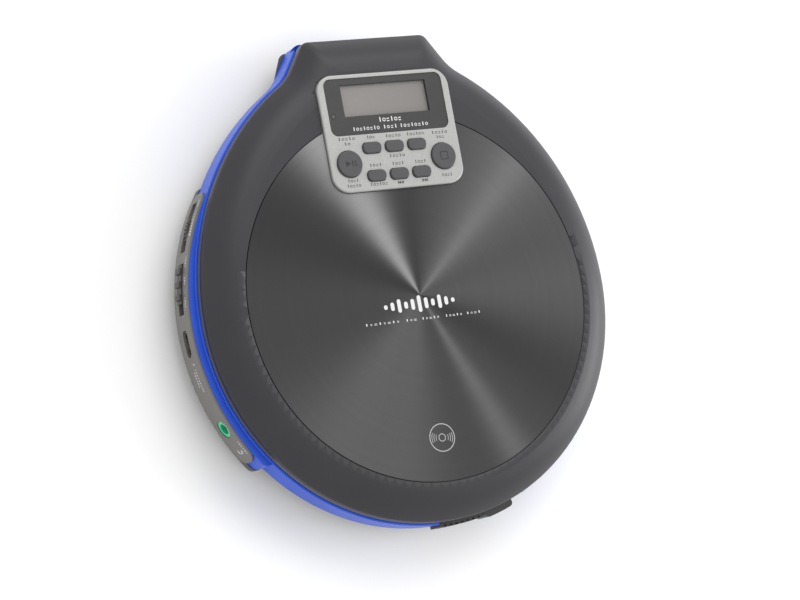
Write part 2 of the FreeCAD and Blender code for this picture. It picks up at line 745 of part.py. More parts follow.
def control_passages():
    """Holes in the band behind the side panel's controls."""
    low = CONTROL_Z - JACK_BODY_HEIGHT / 2 - 0.8
    high = CONTROL_Z + JACK_BODY_HEIGHT / 2 + 0.8
    wheel = sector(60.0, PANEL_RADIUS, low, high, WHEEL_ANGLE - 8.2, WHEEL_ANGLE + 8.2)
    switch = sector(60.0, PANEL_RADIUS, low, high, SWITCH_KNOB_START - 0.8,
                    SWITCH_KNOB_END + SWITCH_TRAVEL + 0.8)
    usb = sector(60.0, PANEL_RADIUS, low, high, USB_ANGLE - 3.9, USB_ANGLE + 3.9)
    jack = sector(55.0, PANEL_RADIUS, low, high, JACK_ANGLE - 3.6, JACK_ANGLE + 3.6)
    return [wheel, switch, usb, jack]


def make_disc_tray():
    """Upper deck of the body: the round well for the disc, open for the hub and the pickup."""
    bottom = TRAY_FLOOR - TRAY_THICKNESS
    outer = WELL_RADIUS + WELL_RIM_WIDTH
    floor = post(0, 0, bottom, TRAY_FLOOR, outer)
    rim = tube(WELL_RADIUS, outer, bottom, WELL_RIM_TOP)
    skirt = tube(outer - SKIRT_WALL, outer, DECK_TOP - DECK_THICKNESS, bottom + EPSILON)
    deck = prism(-0.5 + BAND_WALL + PART_GAP, DECK_TOP - DECK_THICKNESS, DECK_TOP)
    deck = deck.cut(post(0, 0, 0, LID_TOP, outer - SKIRT_WALL))
    deck = deck.cut(box(-90, 90, HINGE_Y - SCOOP_RADIUS - 0.4, 90, 0, 30))
    tray = fuse_all([floor, rim, skirt, deck])
    hub_hole = post(0, 0, bottom - 1, TRAY_FLOOR + 1, TURNTABLE_RADIUS + 1.5)
    slot_end = LENS_Y + SLED_TRAVEL + LENS_HOLDER_RADIUS + MOVE_GAP
    slot = rounded_slab((SLOT_START_Y + slot_end) / 2, SLOT_WIDTH, slot_end - SLOT_START_Y, SLOT_CORNER,
                        bottom - 1, TRAY_FLOOR + EPSILON)
    hook = sector(HOOK_RADIUS - 0.7, HOOK_RADIUS + HOOK_THICKNESS + 0.7, 0, LID_TOP,
                  HOOK_ANGLE - HOOK_HALF_ANGLE - 1.0, HOOK_ANGLE + HOOK_HALF_ANGLE + NOSE_ANGLE + 1.0)
    plunger = polar(PLUNGER_CIRCLE, PLUNGER_ANGLE)
    guide = post(plunger.x, plunger.y, 0, LID_TOP, PLUNGER_RADIUS + MOVE_GAP)
    sled_room = box(-SLED_HALF_WIDTH - 1.5, SLED_HALF_WIDTH + 1.5, WELL_RADIUS - 2.0,
                    SLED_START_Y + SLED_LENGTH + SLED_TRAVEL + 2.5, 0, bottom - EPSILON)
    return cut_all(tray, [hub_hole, slot, hook, guide, sled_room])


# ---------------------------------------------------------------- bottom case
def cell_span():
    """Width of the two cells side by side, with room round them."""
    return 4 * CELL_RADIUS + 3 * CELL_GAP


def door_block(grow):
    """Block that bounds the battery door."""
    return box(CELL_START_X - CELL_GAP - 0.4 - grow, CASE_RADIUS + 8, CELL_START_Y - 0.9 - grow,
               CELL_START_Y + CELL_LENGTH + 0.9 + grow, -1, DOOR_LIP_TOP + grow)


def base_body():
    """Outer form of the bottom case with the bulge under the side panel, solid."""
    waist = {"waist_radius": BASE_WAIST_RADIUS, "waist_turn": BASE_WAIST_TURN}
    body = skin(base_levels(0), **waist)
    foot = bulge(BULGE_RADIUS + 0.3, BULGE_BASE_BOTTOM, BAND_BOTTOM, BULGE_MARGIN)
    lower = [edge for edge in foot.Edges
             if edge.BoundBox.ZMax < BULGE_BASE_BOTTOM + EPSILON
             and math.hypot(edge.Vertexes[0].X, edge.Vertexes[0].Y) > CASE_RADIUS]
    return body.fuse(foot.makeChamfer(2.2, lower))


def base_hollow():
    """Hollow of the bottom case."""
    levels = base_levels(BASE_WALL)
    return skin(levels + [(levels[-1][0], BAND_BOTTOM + 1)])


def case_screw_places():
    """Centres of the screws that join the bottom case to the band."""
    return [polar(CASE_SCREW_CIRCLE, angle) for angle in CASE_SCREW_ANGLES]


def damper_places():
    """Centres of the soft mounts of the mechanism."""
    return [(-19.0, -10.5), (-19.5, 66.0), (19.5, 66.0)]


def bay_bounds():
    """Low and high corner of the room for the cells and their contacts, in X and Y."""
    return (CELL_START_X - CELL_GAP, CELL_START_X - CELL_GAP + cell_span(),
            CELL_START_Y - CELL_END_ROOM, CELL_START_Y + CELL_LENGTH + CELL_END_ROOM)


def bay_walls():
    """Walls round the battery bay."""
    x0, x1, y0, y1 = bay_bounds()
    floor = FOOT_HEIGHT + BASE_WALL - EPSILON
    outer = box(x0 - BAY_WALL, x1 + BAY_WALL, y0 - BAY_WALL, y1 + BAY_WALL, floor, BAY_WALL_TOP)
    return [outer.cut(box(x0, x1, y0, y1, floor - 1, BAY_WALL_TOP + 1))]


def gear_post():
    """Moulded post with the pin that the drive gear turns on."""
    floor = FOOT_HEIGHT + BASE_WALL - EPSILON
    return [post(gear_x(), GEAR_Y, floor, SLED_TOP - 1.0, GEAR_PIN_RADIUS),
            post(gear_x(), GEAR_Y, floor, GEAR_BOTTOM - MOVE_GAP, 2.0)]


def latch_rail():
    """Moulded rail that keeps the slider's inner plate against the band."""
    outer = INNER_PLATE_OUTER - INNER_PLATE_THICKNESS - MOVE_GAP
    return sector(outer - 1.2, outer, FOOT_HEIGHT + BASE_WALL - EPSILON, HOOK_BOTTOM - 0.6, SLIDER_START + 2,
                  SLIDER_END + SLIDER_TRAVEL)


def make_bottom_case():
    """Bottom case with the battery bay, the posts for the mechanism and the screw bosses."""
    floor = FOOT_HEIGHT + BASE_WALL - EPSILON
    shell = base_body().cut(base_hollow())
    panel = panel_block(PART_GAP, PANEL_BOTTOM - PART_GAP, PANEL_TOP, PANEL_THICKNESS + PART_GAP)
    shell = cut_all(shell, [panel, sector(66.0, PANEL_RADIUS - 0.5, PANEL_BOTTOM + 1.0, BAND_BOTTOM + 1,
                                          PANEL_START + 4, PANEL_END - 4)])
    adds = bay_walls()
    adds += [post(x, y, floor, CHASSIS_BOTTOM - 2.0, 2.2) for x, y in damper_places()]
    adds += [post(x, y, floor, CHASSIS_BOTTOM + CHASSIS_THICKNESS + 0.8, 1.0) for x, y in damper_places()]
    adds += [post(p.x, p.y, floor, BAND_BOTTOM + 3.0, 2.8) for p in case_screw_places()]
    sense = polar(PLUNGER_CIRCLE - 1.0, PLUNGER_ANGLE)
    adds += gear_post() + [latch_rail(), post(sense.x, sense.y, floor, SENSE_SWITCH_BOTTOM, 1.8)]
    shell = fuse_all([shell] + adds)
    seats = [post(p.x, p.y, 0, FOOT_HEIGHT + SCREW_HEAD_HEIGHT + 0.6, SCREW_HEAD_RADIUS + PART_GAP)
             for p in case_screw_places()]
    bores = [post(p.x, p.y, 0, BAND_BOTTOM + 4.0, SCREW_SHANK_RADIUS) for p in case_screw_places()]
    feet = [post(p.x, p.y, 0, FOOT_HEIGHT + 0.8, FOOT_RADIUS) for p in foot_places()]
    return cut_all(shell, [door_block(PART_GAP)] + seats + bores + feet)


def make_battery_door():
    """Sliding door under the cells, with the lip that closes the side of the bay and its thumb ridges."""
    door = base_body().common(door_block(0))
    inner = skin([(inset, z) for inset, z in base_levels(DOOR_THICKNESS)])
    door = door.cut(inner)
    middle = CELL_START_Y + CELL_LENGTH / 2
    start = CELL_START_X + cell_span() + 2.0
    ridges = [box(start + 2.2 * i, start + 1 + 2.2 * i, middle - 7, middle + 7, 0, FOOT_HEIGHT + 0.4)
              for i in range(4)]
    return cut_all(door, ridges)


def foot_places():
    """Centres of the feet."""
    return [polar(FOOT_CIRCLE, angle) for angle in FOOT_ANGLES]


def make_rubber_feet():
    """Round rubber feet, each with a rounded lower edge."""
    feet = []
    for p in foot_places():
        foot = post(p.x, p.y, 0, FOOT_HEIGHT + 0.8, FOOT_RADIUS - 0.05)
        lower = [edge for edge in foot.Edges if edge.BoundBox.ZMax < EPSILON]
        feet.append(foot.makeFillet(0.5, lower).cut(base_body().common(base_hollow())))
    return Part.makeCompound([foot.Solids[0] for foot in feet])


def make_case_screws():
    """Screws driven from below through the bottom case."""
    bottom = FOOT_HEIGHT + 0.5
    return Part.makeCompound([screw_up(p.x, p.y, bottom, SCREW_HEAD_HEIGHT, CASE_SCREW_LENGTH - 3.0)
                              for p in case_screw_places()])


# ---------------------------------------------------------------- side controls
def make_side_control_panel():
    """Curved panel with the openings for the wheel, the switch and the two sockets."""
    panel = panel_block(0, PANEL_BOTTOM, PANEL_TOP, PANEL_THICKNESS)
    half = CONTROL_SLOT_HEIGHT / 2
    wheel = sector(60, 80, CONTROL_Z - half, CONTROL_Z + half, WHEEL_ANGLE - WHEEL_WINDOW_HALF,
                   WHEEL_ANGLE + WHEEL_WINDOW_HALF)
    switch = sector(60, 80, CONTROL_Z - half, CONTROL_Z + half, SWITCH_KNOB_START - SWITCH_SLOT_MARGIN,
                    SWITCH_KNOB_END + SWITCH_TRAVEL + SWITCH_SLOT_MARGIN)
    usb = facing(rounded_port(USB_WIDTH + 0.8, USB_HEIGHT + 0.8, 20.0), USB_ANGLE, PANEL_RADIUS - 10)
    jack = facing(Part.makeCylinder(JACK_COLLAR_RADIUS + PART_GAP, 20.0, Vector(0, 0, 0), X_AXIS),
                  JACK_ANGLE, PANEL_RADIUS - 10)
    return cut_all(panel, [wheel, switch, usb, jack])


def rounded_port(width, height, depth):
    """Block along X with its four long edges rounded."""
    block = box(0, depth, -width / 2, width / 2, -height / 2, height / 2)
    long_edges = [edge for edge in block.Edges if is_along(edge, 0)]
    return block.makeFillet(height * 0.42, long_edges)


def facing(shape, angle, radius):
    """Moves a shape modelled along +X from the origin out to a radius and an angle at control height."""
    moved = shape.copy()
    moved.translate(Vector(radius, 0, CONTROL_Z))
    moved.rotate(Vector(0, 0, 0), Z_AXIS, angle)
    return moved


def wheel_centre():
    """Axis of the volume wheel."""
    return polar(PANEL_RADIUS + WHEEL_PROUD - WHEEL_RADIUS, WHEEL_ANGLE)


def make_volume_wheel():
    """Thumb wheel with a knurled edge."""
    points = []
    for tooth in range(WHEEL_KNURLS):
        for share, depth in ((0.0, 0.0), (0.35, 0.0), (0.5, KNURL_DEPTH), (0.85, KNURL_DEPTH)):
            points.append(polar(WHEEL_RADIUS - depth, (tooth + share) * 360 / WHEEL_KNURLS,
                                CONTROL_Z - WHEEL_THICKNESS / 2))
    wheel = Part.Face(Part.makePolygon(points + points[:1])).extrude(Vector(0, 0, WHEEL_THICKNESS))
    wheel = wheel.cut(post(0, 0, 0, LID_TOP, POT_SHAFT_RADIUS + RUNNING_GAP))
    wheel.translate(wheel_centre())
    return wheel


def board_top():
    """Height of the main board's upper face."""
    return BOARD_BOTTOM + BOARD_THICKNESS


def make_volume_potentiometer():
    """Flat rotary control under the thumb wheel, with its shaft."""
    centre = wheel_centre()
    wafer_top = CONTROL_Z - WHEEL_THICKNESS / 2 - GUIDE_GAP
    wafer = post(centre.x, centre.y, board_top(), wafer_top, POT_RADIUS)
    shaft = post(centre.x, centre.y, board_top(), CONTROL_Z + WHEEL_THICKNESS / 2, POT_SHAFT_RADIUS)
    return fuse_all([wafer, shaft])


def make_slide_switch_knob():
    """Ridged thumb piece of the slide switch with its stem."""
    half = CONTROL_SLOT_HEIGHT / 2 - GUIDE_GAP
    inner = PANEL_RADIUS - PANEL_THICKNESS
    knob = sector(inner, PANEL_RADIUS + SWITCH_PROUD * 0.4, CONTROL_Z - half, CONTROL_Z + half,
                  SWITCH_KNOB_START, SWITCH_KNOB_END)
    step = (SWITCH_KNOB_END - SWITCH_KNOB_START) / SWITCH_RIDGES
    ridges = [sector(PANEL_RADIUS - 0.2, PANEL_RADIUS + SWITCH_PROUD, CONTROL_Z - half, CONTROL_Z + half,
                     SWITCH_KNOB_START + (i + 0.28) * step, SWITCH_KNOB_START + (i + 0.72) * step)
              for i in range(SWITCH_RIDGES)]
    middle = (SWITCH_KNOB_START + SWITCH_KNOB_END) / 2
    stem = sector(SWITCH_BODY_OUTER - 0.8, inner + 0.2, CONTROL_Z - 0.8, CONTROL_Z + 0.8,
                  middle - SWITCH_STEM_HALF / 2, middle + SWITCH_STEM_HALF / 2)
    return fuse_all([knob, stem] + ridges)


def make_slide_switch_housing():
    """Metal-cased slide switch on the board, slotted for the knob's stem."""
    middle = (SWITCH_KNOB_START + SWITCH_KNOB_END + SWITCH_TRAVEL) / 2
    body = sector(SWITCH_BODY_OUTER - SWITCH_BODY_DEPTH, SWITCH_BODY_OUTER, board_top(), CONTROL_Z + 1.9,
                  middle - 4.2, middle + 4.2)
    stem_middle = (SWITCH_KNOB_START + SWITCH_KNOB_END) / 2
    slot = sector(SWITCH_BODY_OUTER - 1.3, SWITCH_BODY_OUTER + 1, CONTROL_Z - 1.1, CONTROL_Z + 1.1,
                  stem_middle - SWITCH_STEM_HALF / 2 - 0.4, stem_middle + SWITCH_STEM_HALF / 2 + SWITCH_TRAVEL + 0.4)
    return body.cut(slot)


def make_usb_socket():
    """Metal shell of the power socket with its tongue, on a foot down to the board."""
    face = PANEL_RADIUS - USB_SINK
    shell = rounded_port(USB_WIDTH, USB_HEIGHT, USB_DEPTH)
    hollow = rounded_port(USB_WIDTH - 2 * USB_WALL, USB_HEIGHT - 2 * USB_WALL, USB_DEPTH)
    hollow.translate(Vector(USB_WALL * 3, 0, 0))
    tongue = box(0.2, USB_DEPTH - 1.4, -1.9, 1.9, 0.15, 0.6)
    foot_height = CONTROL_Z - USB_HEIGHT / 2 - board_top()
    foot = box(0, USB_DEPTH - 2.6, -USB_WIDTH * 0.3, USB_WIDTH * 0.3, -USB_HEIGHT / 2 - foot_height,
               -USB_HEIGHT / 2 + 0.2)
    socket = fuse_all([shell.cut(hollow), tongue, foot])
    return facing(socket, USB_ANGLE, face - USB_DEPTH)


def make_headphone_jack():
    """Body of the headphone socket with its blind bore."""
    collar_face = PANEL_RADIUS - PANEL_THICKNESS - 0.1
    depth = JACK_BORE_DEPTH + JACK_WALL
    block = box(0, depth, -JACK_BODY_WIDTH / 2, JACK_BODY_WIDTH / 2, board_top() - CONTROL_Z,
                JACK_BODY_HEIGHT / 2)
    bore = Part.makeCylinder(JACK_BORE_RADIUS, depth, Vector(JACK_WALL, 0, 0), X_AXIS)
    return facing(block.cut(bore), JACK_ANGLE, collar_face - depth)


def make_headphone_collar():
    """Coloured ring round the mouth of the headphone socket."""
    start = PANEL_RADIUS - PANEL_THICKNESS - 0.1
    ring = Part.makeCylinder(JACK_COLLAR_RADIUS, PANEL_THICKNESS + 0.1 - 0.25, Vector(0, 0, 0), X_AXIS)
    ring = ring.cut(Part.makeCylinder(JACK_BORE_RADIUS, 10, Vector(-1, 0, 0), X_AXIS))
    return facing(ring, JACK_ANGLE, start)


def make_main_board():
    """Circuit board along the left side of the body."""
    top = board_top()
    plate = prism(BOARD_INSET, BOARD_BOTTOM, top)
    plate = plate.common(box(-90, BOARD_RIGHT, -BOARD_HALF_LENGTH, BOARD_HALF_LENGTH, 0, 30))
    holes = [post(p.x, p.y, 0, 30, 3.4) for p in case_screw_places()]
    return cut_all(plate, holes)


def make_board_chips():
    """Processor, memory, driver chips and large capacitors on the main board."""
    top = board_top()
    chips = [box(-50, -38, -8, 4, top, top + CHIP_HEIGHT), box(-52, -42, 10, 17, top, top + CHIP_HEIGHT),
             box(-46, -38, -24, -16, top, top + CHIP_HEIGHT), box(-42, -35, 22, 29, top, top + CHIP_HEIGHT)]
    cans = [post(x, y, top, top + 5.0, 2.5) for x, y in ((-36, -36), (-43, -33), (-36, 12))]
    return Part.makeCompound(chips + cans)


# ---------------------------------------------------------------- latch at the front
def make_open_slider():
    """Thumb slider that opens the lid: ribs, a raised end, and the catch behind it."""
    back = SLIDER_BACK
    top = SLIDER_THUMB_TOP
    thumb = sector(back, SLIDER_OUTER - RIB_DEPTH, SLIDER_BOTTOM, top, SLIDER_START, SLIDER_END)
    raised = sector(back, SLIDER_OUTER + SLIDER_BUMP_PROUD, SLIDER_BOTTOM, top, SLIDER_BUMP, SLIDER_END)
    ends = [edge for edge in vertical_edges(raised)
            if math.hypot(edge.Vertexes[0].X, edge.Vertexes[0].Y) > SLIDER_OUTER]
    raised = raised.makeFillet(1.4, ends)
    step = (SLIDER_BUMP - SLIDER_START) / SLIDER_RIBS
    ribs = [sector(back, SLIDER_OUTER, SLIDER_BOTTOM, top, SLIDER_START + i * step,
                   SLIDER_START + (i + 0.55) * step) for i in range(SLIDER_RIBS)]
    neck = neck_sector(INNER_PLATE_OUTER - 0.5, back + 0.2, 0, 0)
    inner = INNER_PLATE_OUTER - INNER_PLATE_THICKNESS
    plate = sector(inner, INNER_PLATE_OUTER, SLIDER_BOTTOM + 0.5, SLIDER_TOP, SLIDER_START + 4, SLIDER_END - 4)
    hook_edge = HOOK_ANGLE + HOOK_HALF_ANGLE + NOSE_ANGLE
    catch = sector(inner - CATCH_REACH, inner + 0.2, HOOK_BOTTOM + 1.9, HOOK_BOTTOM + 1.9 + CATCH_THICKNESS,
                   hook_edge + 0.4, hook_edge + 3.6)
    return fuse_all([thumb, raised, neck, plate, catch] + ribs)


def make_latch_spring():
    """Compression spring that returns the open slider."""
    radius = (INNER_PLATE_OUTER + INNER_PLATE_OUTER - INNER_PLATE_THICKNESS) / 2
    z = (SLIDER_BOTTOM + SLIDER_TOP) / 2
    start = SLIDER_END - 4 + SLIDER_TRAVEL + 0.5
    rings = []
    for i in range(5):
        centre = polar(radius, start + 1.0 * i, z)
        along = polar(1.0, start + 1.0 * i + 90)
        rings.append(Part.makeTorus(1.0, 0.3, centre, along))
    return Part.makeCompound(rings)


def make_lid_sense_plunger():
    """Small plunger in the rim of the well that senses the lid."""
    place = polar(PLUNGER_CIRCLE, PLUNGER_ANGLE)
    foot = SENSE_SWITCH_TOP + PLUNGER_TRAVEL + 0.1
    pin = post(place.x, place.y, foot, PLUNGER_TOP, PLUNGER_RADIUS)
    collar = post(place.x, place.y, foot, foot + 1.0, PLUNGER_RADIUS + 0.5)
    return fuse_all([pin, collar])


def make_lid_sense_switch():
    """Switch under the plunger, on its own post."""
    place = polar(PLUNGER_CIRCLE - 1.0, PLUNGER_ANGLE)
    return box(place.x - 2.5, place.x + 2.5, place.y - 2, place.y + 2, SENSE_SWITCH_BOTTOM, SENSE_SWITCH_TOP)


# ---------------------------------------------------------------- hinge hardware
def make_hinge_pins():
    """Two steel pins of the lid's hinge."""
    return Part.makeCompound(both_sides((PIN_INNER_X, PIN_OUTER_X),
                                        lambda x0, x1: hinge_barrel(x0, x1, PIN_RADIUS)))


def make_lid_spring():
    """Torsion spring on the inner end of a hinge pin, with its leg down to the band."""
    pitch = 2.4 * LID_SPRING_WIRE
    start = LID_SPRING_END - LID_SPRING_COILS * pitch
    coils = [Part.makeTorus(LID_SPRING_RADIUS, LID_SPRING_WIRE, Vector(start + i * pitch, HINGE_Y, HINGE_Z), X_AXIS)
             for i in range(LID_SPRING_COILS)]
    return Part.makeCompound(coils)


# ---------------------------------------------------------------- batteries
def cell_centres():
    """X of each cell's axis."""
    first = CELL_START_X + CELL_RADIUS
    return (first, first + 2 * CELL_RADIUS + CELL_GAP)


def cell_axis_z():
    """Height of the cells' axes."""
    return FOOT_HEIGHT + DOOR_THICKNESS + CELL_FLOOR_GAP + CELL_RADIUS


def along_y(x, y0, y1, radius):
    """Cylinder along Y at the height of the cells."""
    return Part.makeCylinder(radius, y1 - y0, Vector(x, y0, cell_axis_z()), Vector(0, 1, 0))


def make_aa_cells():
    """Two AA cells side by side, facing opposite ways."""
    end = CELL_START_Y + CELL_LENGTH
    cells = []
    for x, nub_at_back in zip(cell_centres(), (True, False)):
        low = CELL_START_Y if nub_at_back else CELL_START_Y + NUB_LENGTH
        can = along_y(x, low, low + CELL_LENGTH - NUB_LENGTH, CELL_RADIUS)
        can = can.makeFillet(0.6, [edge for edge in can.Edges if not is_along(edge, 1)])
        nub = along_y(x, end - NUB_LENGTH - EPSILON, end, NUB_RADIUS)
        if not nub_at_back:
            nub = along_y(x, CELL_START_Y, CELL_START_Y + NUB_LENGTH + EPSILON, NUB_RADIUS)
        cells.append(can.fuse(nub))
    return Part.makeCompound([cell.Solids[0] for cell in cells])


def make_battery_springs():
    """Coil spring contact at the flat end of each cell, widest at its seat."""
    first, second = cell_centres()
    _, _, front, back = bay_bounds()
    springs = []
    for i in range(3):
        offset = CONTACT_THICKNESS + 0.27 + 0.5 * i
        radius = 3.6 - 0.5 * i
        springs.append(Part.makeTorus(radius, 0.25, Vector(first, front + offset, cell_axis_z()), Vector(0, 1, 0)))
        springs.append(Part.makeTorus(radius, 0.25, Vector(second, back - offset, cell_axis_z()), Vector(0, 1, 0)))
    return Part.makeCompound(springs)


def make_battery_contact_plates():
    """Nickel contact plates at the two ends of the bay, each raised to meet a cell's nub."""
    first, second = cell_centres()
    _, _, front, back = bay_bounds()
    low = cell_axis_z() - 4.0
    high = BAY_WALL_TOP
    reach = CELL_END_ROOM - 0.02
    seat = box(first - 4.5, first + 4.5, front + EPSILON, front + CONTACT_THICKNESS, low, high)
    tab = box(second - 4.5, second + 4.5, front + EPSILON, front + CONTACT_THICKNESS, low, high)
    tab = tab.fuse(box(second - 2, second + 2, front + EPSILON, front + reach, low + 2.5, high - 0.5))
    link = box(first - 4.5, second + 4.5, back - CONTACT_THICKNESS, back - EPSILON, low, high)
    link = link.fuse(box(first - 2, first + 2, back - reach, back - EPSILON, low + 2.5, high - 0.5))
    return Part.makeCompound([seat, tab.Solids[0], link.Solids[0]])


# ---------------------------------------------------------------- disc mechanism
def make_mechanism_chassis():
    """Pressed plate that carries the motors, the rods and the gear."""
    top = CHASSIS_BOTTOM + CHASSIS_THICKNESS
    arm = box(-23.0, 10.6, -15.0, 17.0, CHASSIS_BOTTOM, top)
    frame = box(-31.0, 23.5, 17.0, 74.0, CHASSIS_BOTTOM, top).common(prism(3.5, 0, 30))
    window = box(-9.5, 17.0, 19.0, 66.0, CHASSIS_BOTTOM - 1, top + 1)
    lugs = [box(x - 2, x + 2, y, y + 2.0, top - EPSILON, ROD_Z + 1.4)
            for x in (-ROD_X, ROD_X) for y in (ROD_START_Y, ROD_END_Y - 2.0)]
    plate = fuse_all([arm, frame, box(10.0, 15.0, ROD_START_Y, 18.0, CHASSIS_BOTTOM, top)])
    plate = plate.cut(window)
    plate = plate.cut(box(ROD_X + 2.2, 30, -20, ROD_START_Y - 0.2, 0, 30))
    plate = fuse_all([plate] + lugs)
    holes = [post(x, y, 0, 30, 1.6) for x, y in damper_places()]
    holes += [post(0, 0, 0, 30, 3.2), post(gear_x(), GEAR_Y, 0, 30, 1.6)]
    holes += [post(p.x, p.y, 0, 30, 3.6) for p in case_screw_places()]
    rods = [rod(x, ROD_RADIUS) for x in (-ROD_X, ROD_X)]
    return cut_all(plate, holes + rods)


def rod(x, radius):
    """Cylinder along a guide rod."""
    return Part.makeCylinder(radius, ROD_END_Y - ROD_START_Y, Vector(x, ROD_START_Y, ROD_Z), Vector(0, 1, 0))


def make_guide_rods():
    """Two steel rods that the pickup runs on."""
    return Part.makeCompound([rod(x, ROD_RADIUS) for x in (-ROD_X, ROD_X)])


def make_rubber_dampers():
    """Soft rings between the chassis and its posts."""
    rings = []
    for x, y in damper_places():
        ring = post(x, y, CHASSIS_BOTTOM - 2.0, CHASSIS_BOTTOM, 2.6)
        neck = post(x, y, CHASSIS_BOTTOM - EPSILON, CHASSIS_BOTTOM + CHASSIS_THICKNESS, 1.55)
        rings.append(ring.fuse(neck).cut(post(x, y, 0, 30, 1.0)))
    return Part.makeCompound([ring.Solids[0] for ring in rings])


def make_spindle_motor():
    """Can of the spindle motor, under the chassis."""
    can = post(0, 0, MOTOR_BOTTOM, CHASSIS_BOTTOM, MOTOR_RADIUS)
    lower = [edge for edge in can.Edges if edge.BoundBox.ZMax < MOTOR_BOTTOM + EPSILON]
    can = can.makeFillet(0.8, lower)
    collar = post(0, 0, CHASSIS_BOTTOM - EPSILON, CHASSIS_BOTTOM + CHASSIS_THICKNESS + 0.8, 3.0)
    bore = post(0, 0, MOTOR_BOTTOM + 1.5, 30, SHAFT_RADIUS + RUNNING_GAP)
    return fuse_all([can, collar]).cut(bore)


def make_spindle_shaft():
    """Shaft of the spindle motor."""
    return post(0, 0, MOTOR_BOTTOM + 2.0, DISC_SEAT + 0.6, SHAFT_RADIUS)


def make_turntable():
    """Turntable with the raised hub that centres the disc."""
    seat = post(0, 0, DISC_SEAT - TURNTABLE_THICKNESS, DISC_SEAT, TURNTABLE_RADIUS)
    hub = post(0, 0, DISC_SEAT - EPSILON, HUB_TOP, HUB_RADIUS)
    crown = [edge for edge in hub.Edges if edge.BoundBox.ZMin > HUB_TOP - EPSILON]
    hub = hub.makeFillet(HUB_CROWN, crown)
    boss = post(0, 0, DISC_SEAT - TURNTABLE_THICKNESS - 1.5, DISC_SEAT, 3.0)
    turntable = fuse_all([seat, hub, boss])
    groove = tube(HUB_RADIUS + 0.4, TURNTABLE_RADIUS - 1.0, DISC_SEAT - 0.3, DISC_SEAT + 0.1)
    sockets = [Part.makeCylinder(CLAMP_BALL_RADIUS + 0.03, HUB_RADIUS, place - polar(CLAMP_BALL_RADIUS + 0.03, angle),
                                 polar(1.0, angle)) for place, angle in clamp_ball_places()]
    return cut_all(turntable, [post(0, 0, 0, DISC_SEAT + 0.6, SHAFT_RADIUS), groove] + sockets)


def clamp_ball_places():
    """Centre and direction of each ball that holds the disc on the hub."""
    radius = HUB_RADIUS - CLAMP_BALL_RADIUS
    angles = [CLAMP_BALL_START + i * 360 / CLAMP_BALLS for i in range(CLAMP_BALLS)]
    return [(polar(radius, angle, DISC_SEAT + 0.95), angle) for angle in angles]


def make_clamp_balls():
    """Sprung balls in the hub that snap past the disc's edge."""
    return Part.makeCompound([Part.makeSphere(CLAMP_BALL_RADIUS, place) for place, _ in clamp_ball_places()])


def make_turntable_mat():
    """Soft ring that the disc rests on."""
    return tube(HUB_RADIUS + 0.45, TURNTABLE_RADIUS - 1.05, DISC_SEAT - 0.3, DISC_SEAT - EPSILON)


def make_pickup():
    """Optical pickup that slides on the rods, open over its lens."""
    end = SLED_START_Y + SLED_LENGTH
    body = box(-SLED_HALF_WIDTH, SLED_HALF_WIDTH, SLED_START_Y, end, SLED_BOTTOM, SLED_TOP)
    waist = [box(9.0, 17, SLED_START_Y + 4.5, end - 4.5, 0, 30), box(-17, -9.0, end - 5.0, end + 1, ROD_Z + 1.4, 30)]
    bores = [Part.makeCylinder(ROD_RADIUS + RUNNING_GAP, SLED_LENGTH + 2, Vector(x, SLED_START_Y - 1, ROD_Z),
                               Vector(0, 1, 0)) for x in (-ROD_X, ROD_X)]
    well = post(0, LENS_Y, SLED_TOP - 2.0, 30, LENS_RADIUS + 1.6)
    return cut_all(body, waist + bores + [well])


def make_lens_holder():
    """Coil-driven holder of the lens."""
    holder = post(0, LENS_Y, SLED_TOP - 1.2, SLED_TOP + 0.7, LENS_HOLDER_RADIUS)
    return holder.cut(post(0, LENS_Y, 0, 30, LENS_RADIUS))


def make_objective_lens():
    """Lens that focuses on the disc."""
    lens = post(0, LENS_Y, SLED_TOP - 0.4, SLED_TOP + 0.5, LENS_RADIUS)
    dome = Part.makeSphere(5.0, Vector(0, LENS_Y, SLED_TOP + 0.9 - 5.0))
    return lens.common(dome)


def toothed_wheel(teeth, module, z0, z1, bore, phase):
    """Gear with straight-sided teeth; phase turns it, in shares of a tooth."""
    tip = module * teeth / 2 + 0.8 * module
    root = module * teeth / 2 - 1.15 * module
    points = []
    for tooth in range(teeth):
        for share, radius in ((-0.30, root), (-TOOTH_SHARE / 4, tip), (TOOTH_SHARE / 4, tip), (0.30, root)):
            points.append(polar(radius, (tooth + share + phase) * 360 / teeth, z0))
    wheel = Part.Face(Part.makePolygon(points + points[:1])).extrude(Vector(0, 0, z1 - z0))
    return wheel.cut(post(0, 0, z0 - 1, z1 + 1, bore))


def gear_x():
    """X of the drive gear's axis."""
    return RACK_PITCH_X - RACK_MODULE * GEAR_SMALL_TEETH / 2 - 0.15


def sled_motor_y():
    """Y of the sled motor's axis."""
    return GEAR_Y + WHEEL_MODULE * (GEAR_LARGE_TEETH + PINION_TEETH) / 2 + 0.12


def make_drive_gear():
    """Double gear: a large wheel for the motor's pinion and a small one for the rack."""
    low = toothed_wheel(GEAR_LARGE_TEETH, WHEEL_MODULE, GEAR_BOTTOM, GEAR_BOTTOM + GEAR_THICKNESS, 0.8, 0.0)
    high = toothed_wheel(GEAR_SMALL_TEETH, RACK_MODULE, CHASSIS_BOTTOM + CHASSIS_THICKNESS + 0.4,
                         SLED_TOP - 1.2, 0.8, 0.0)
    core = post(0, 0, GEAR_BOTTOM, SLED_TOP - 1.2, 1.4).cut(post(0, 0, 0, 30, 0.8))
    gear = fuse_all([low, core, high])
    gear.translate(Vector(gear_x(), GEAR_Y, 0))
    return gear


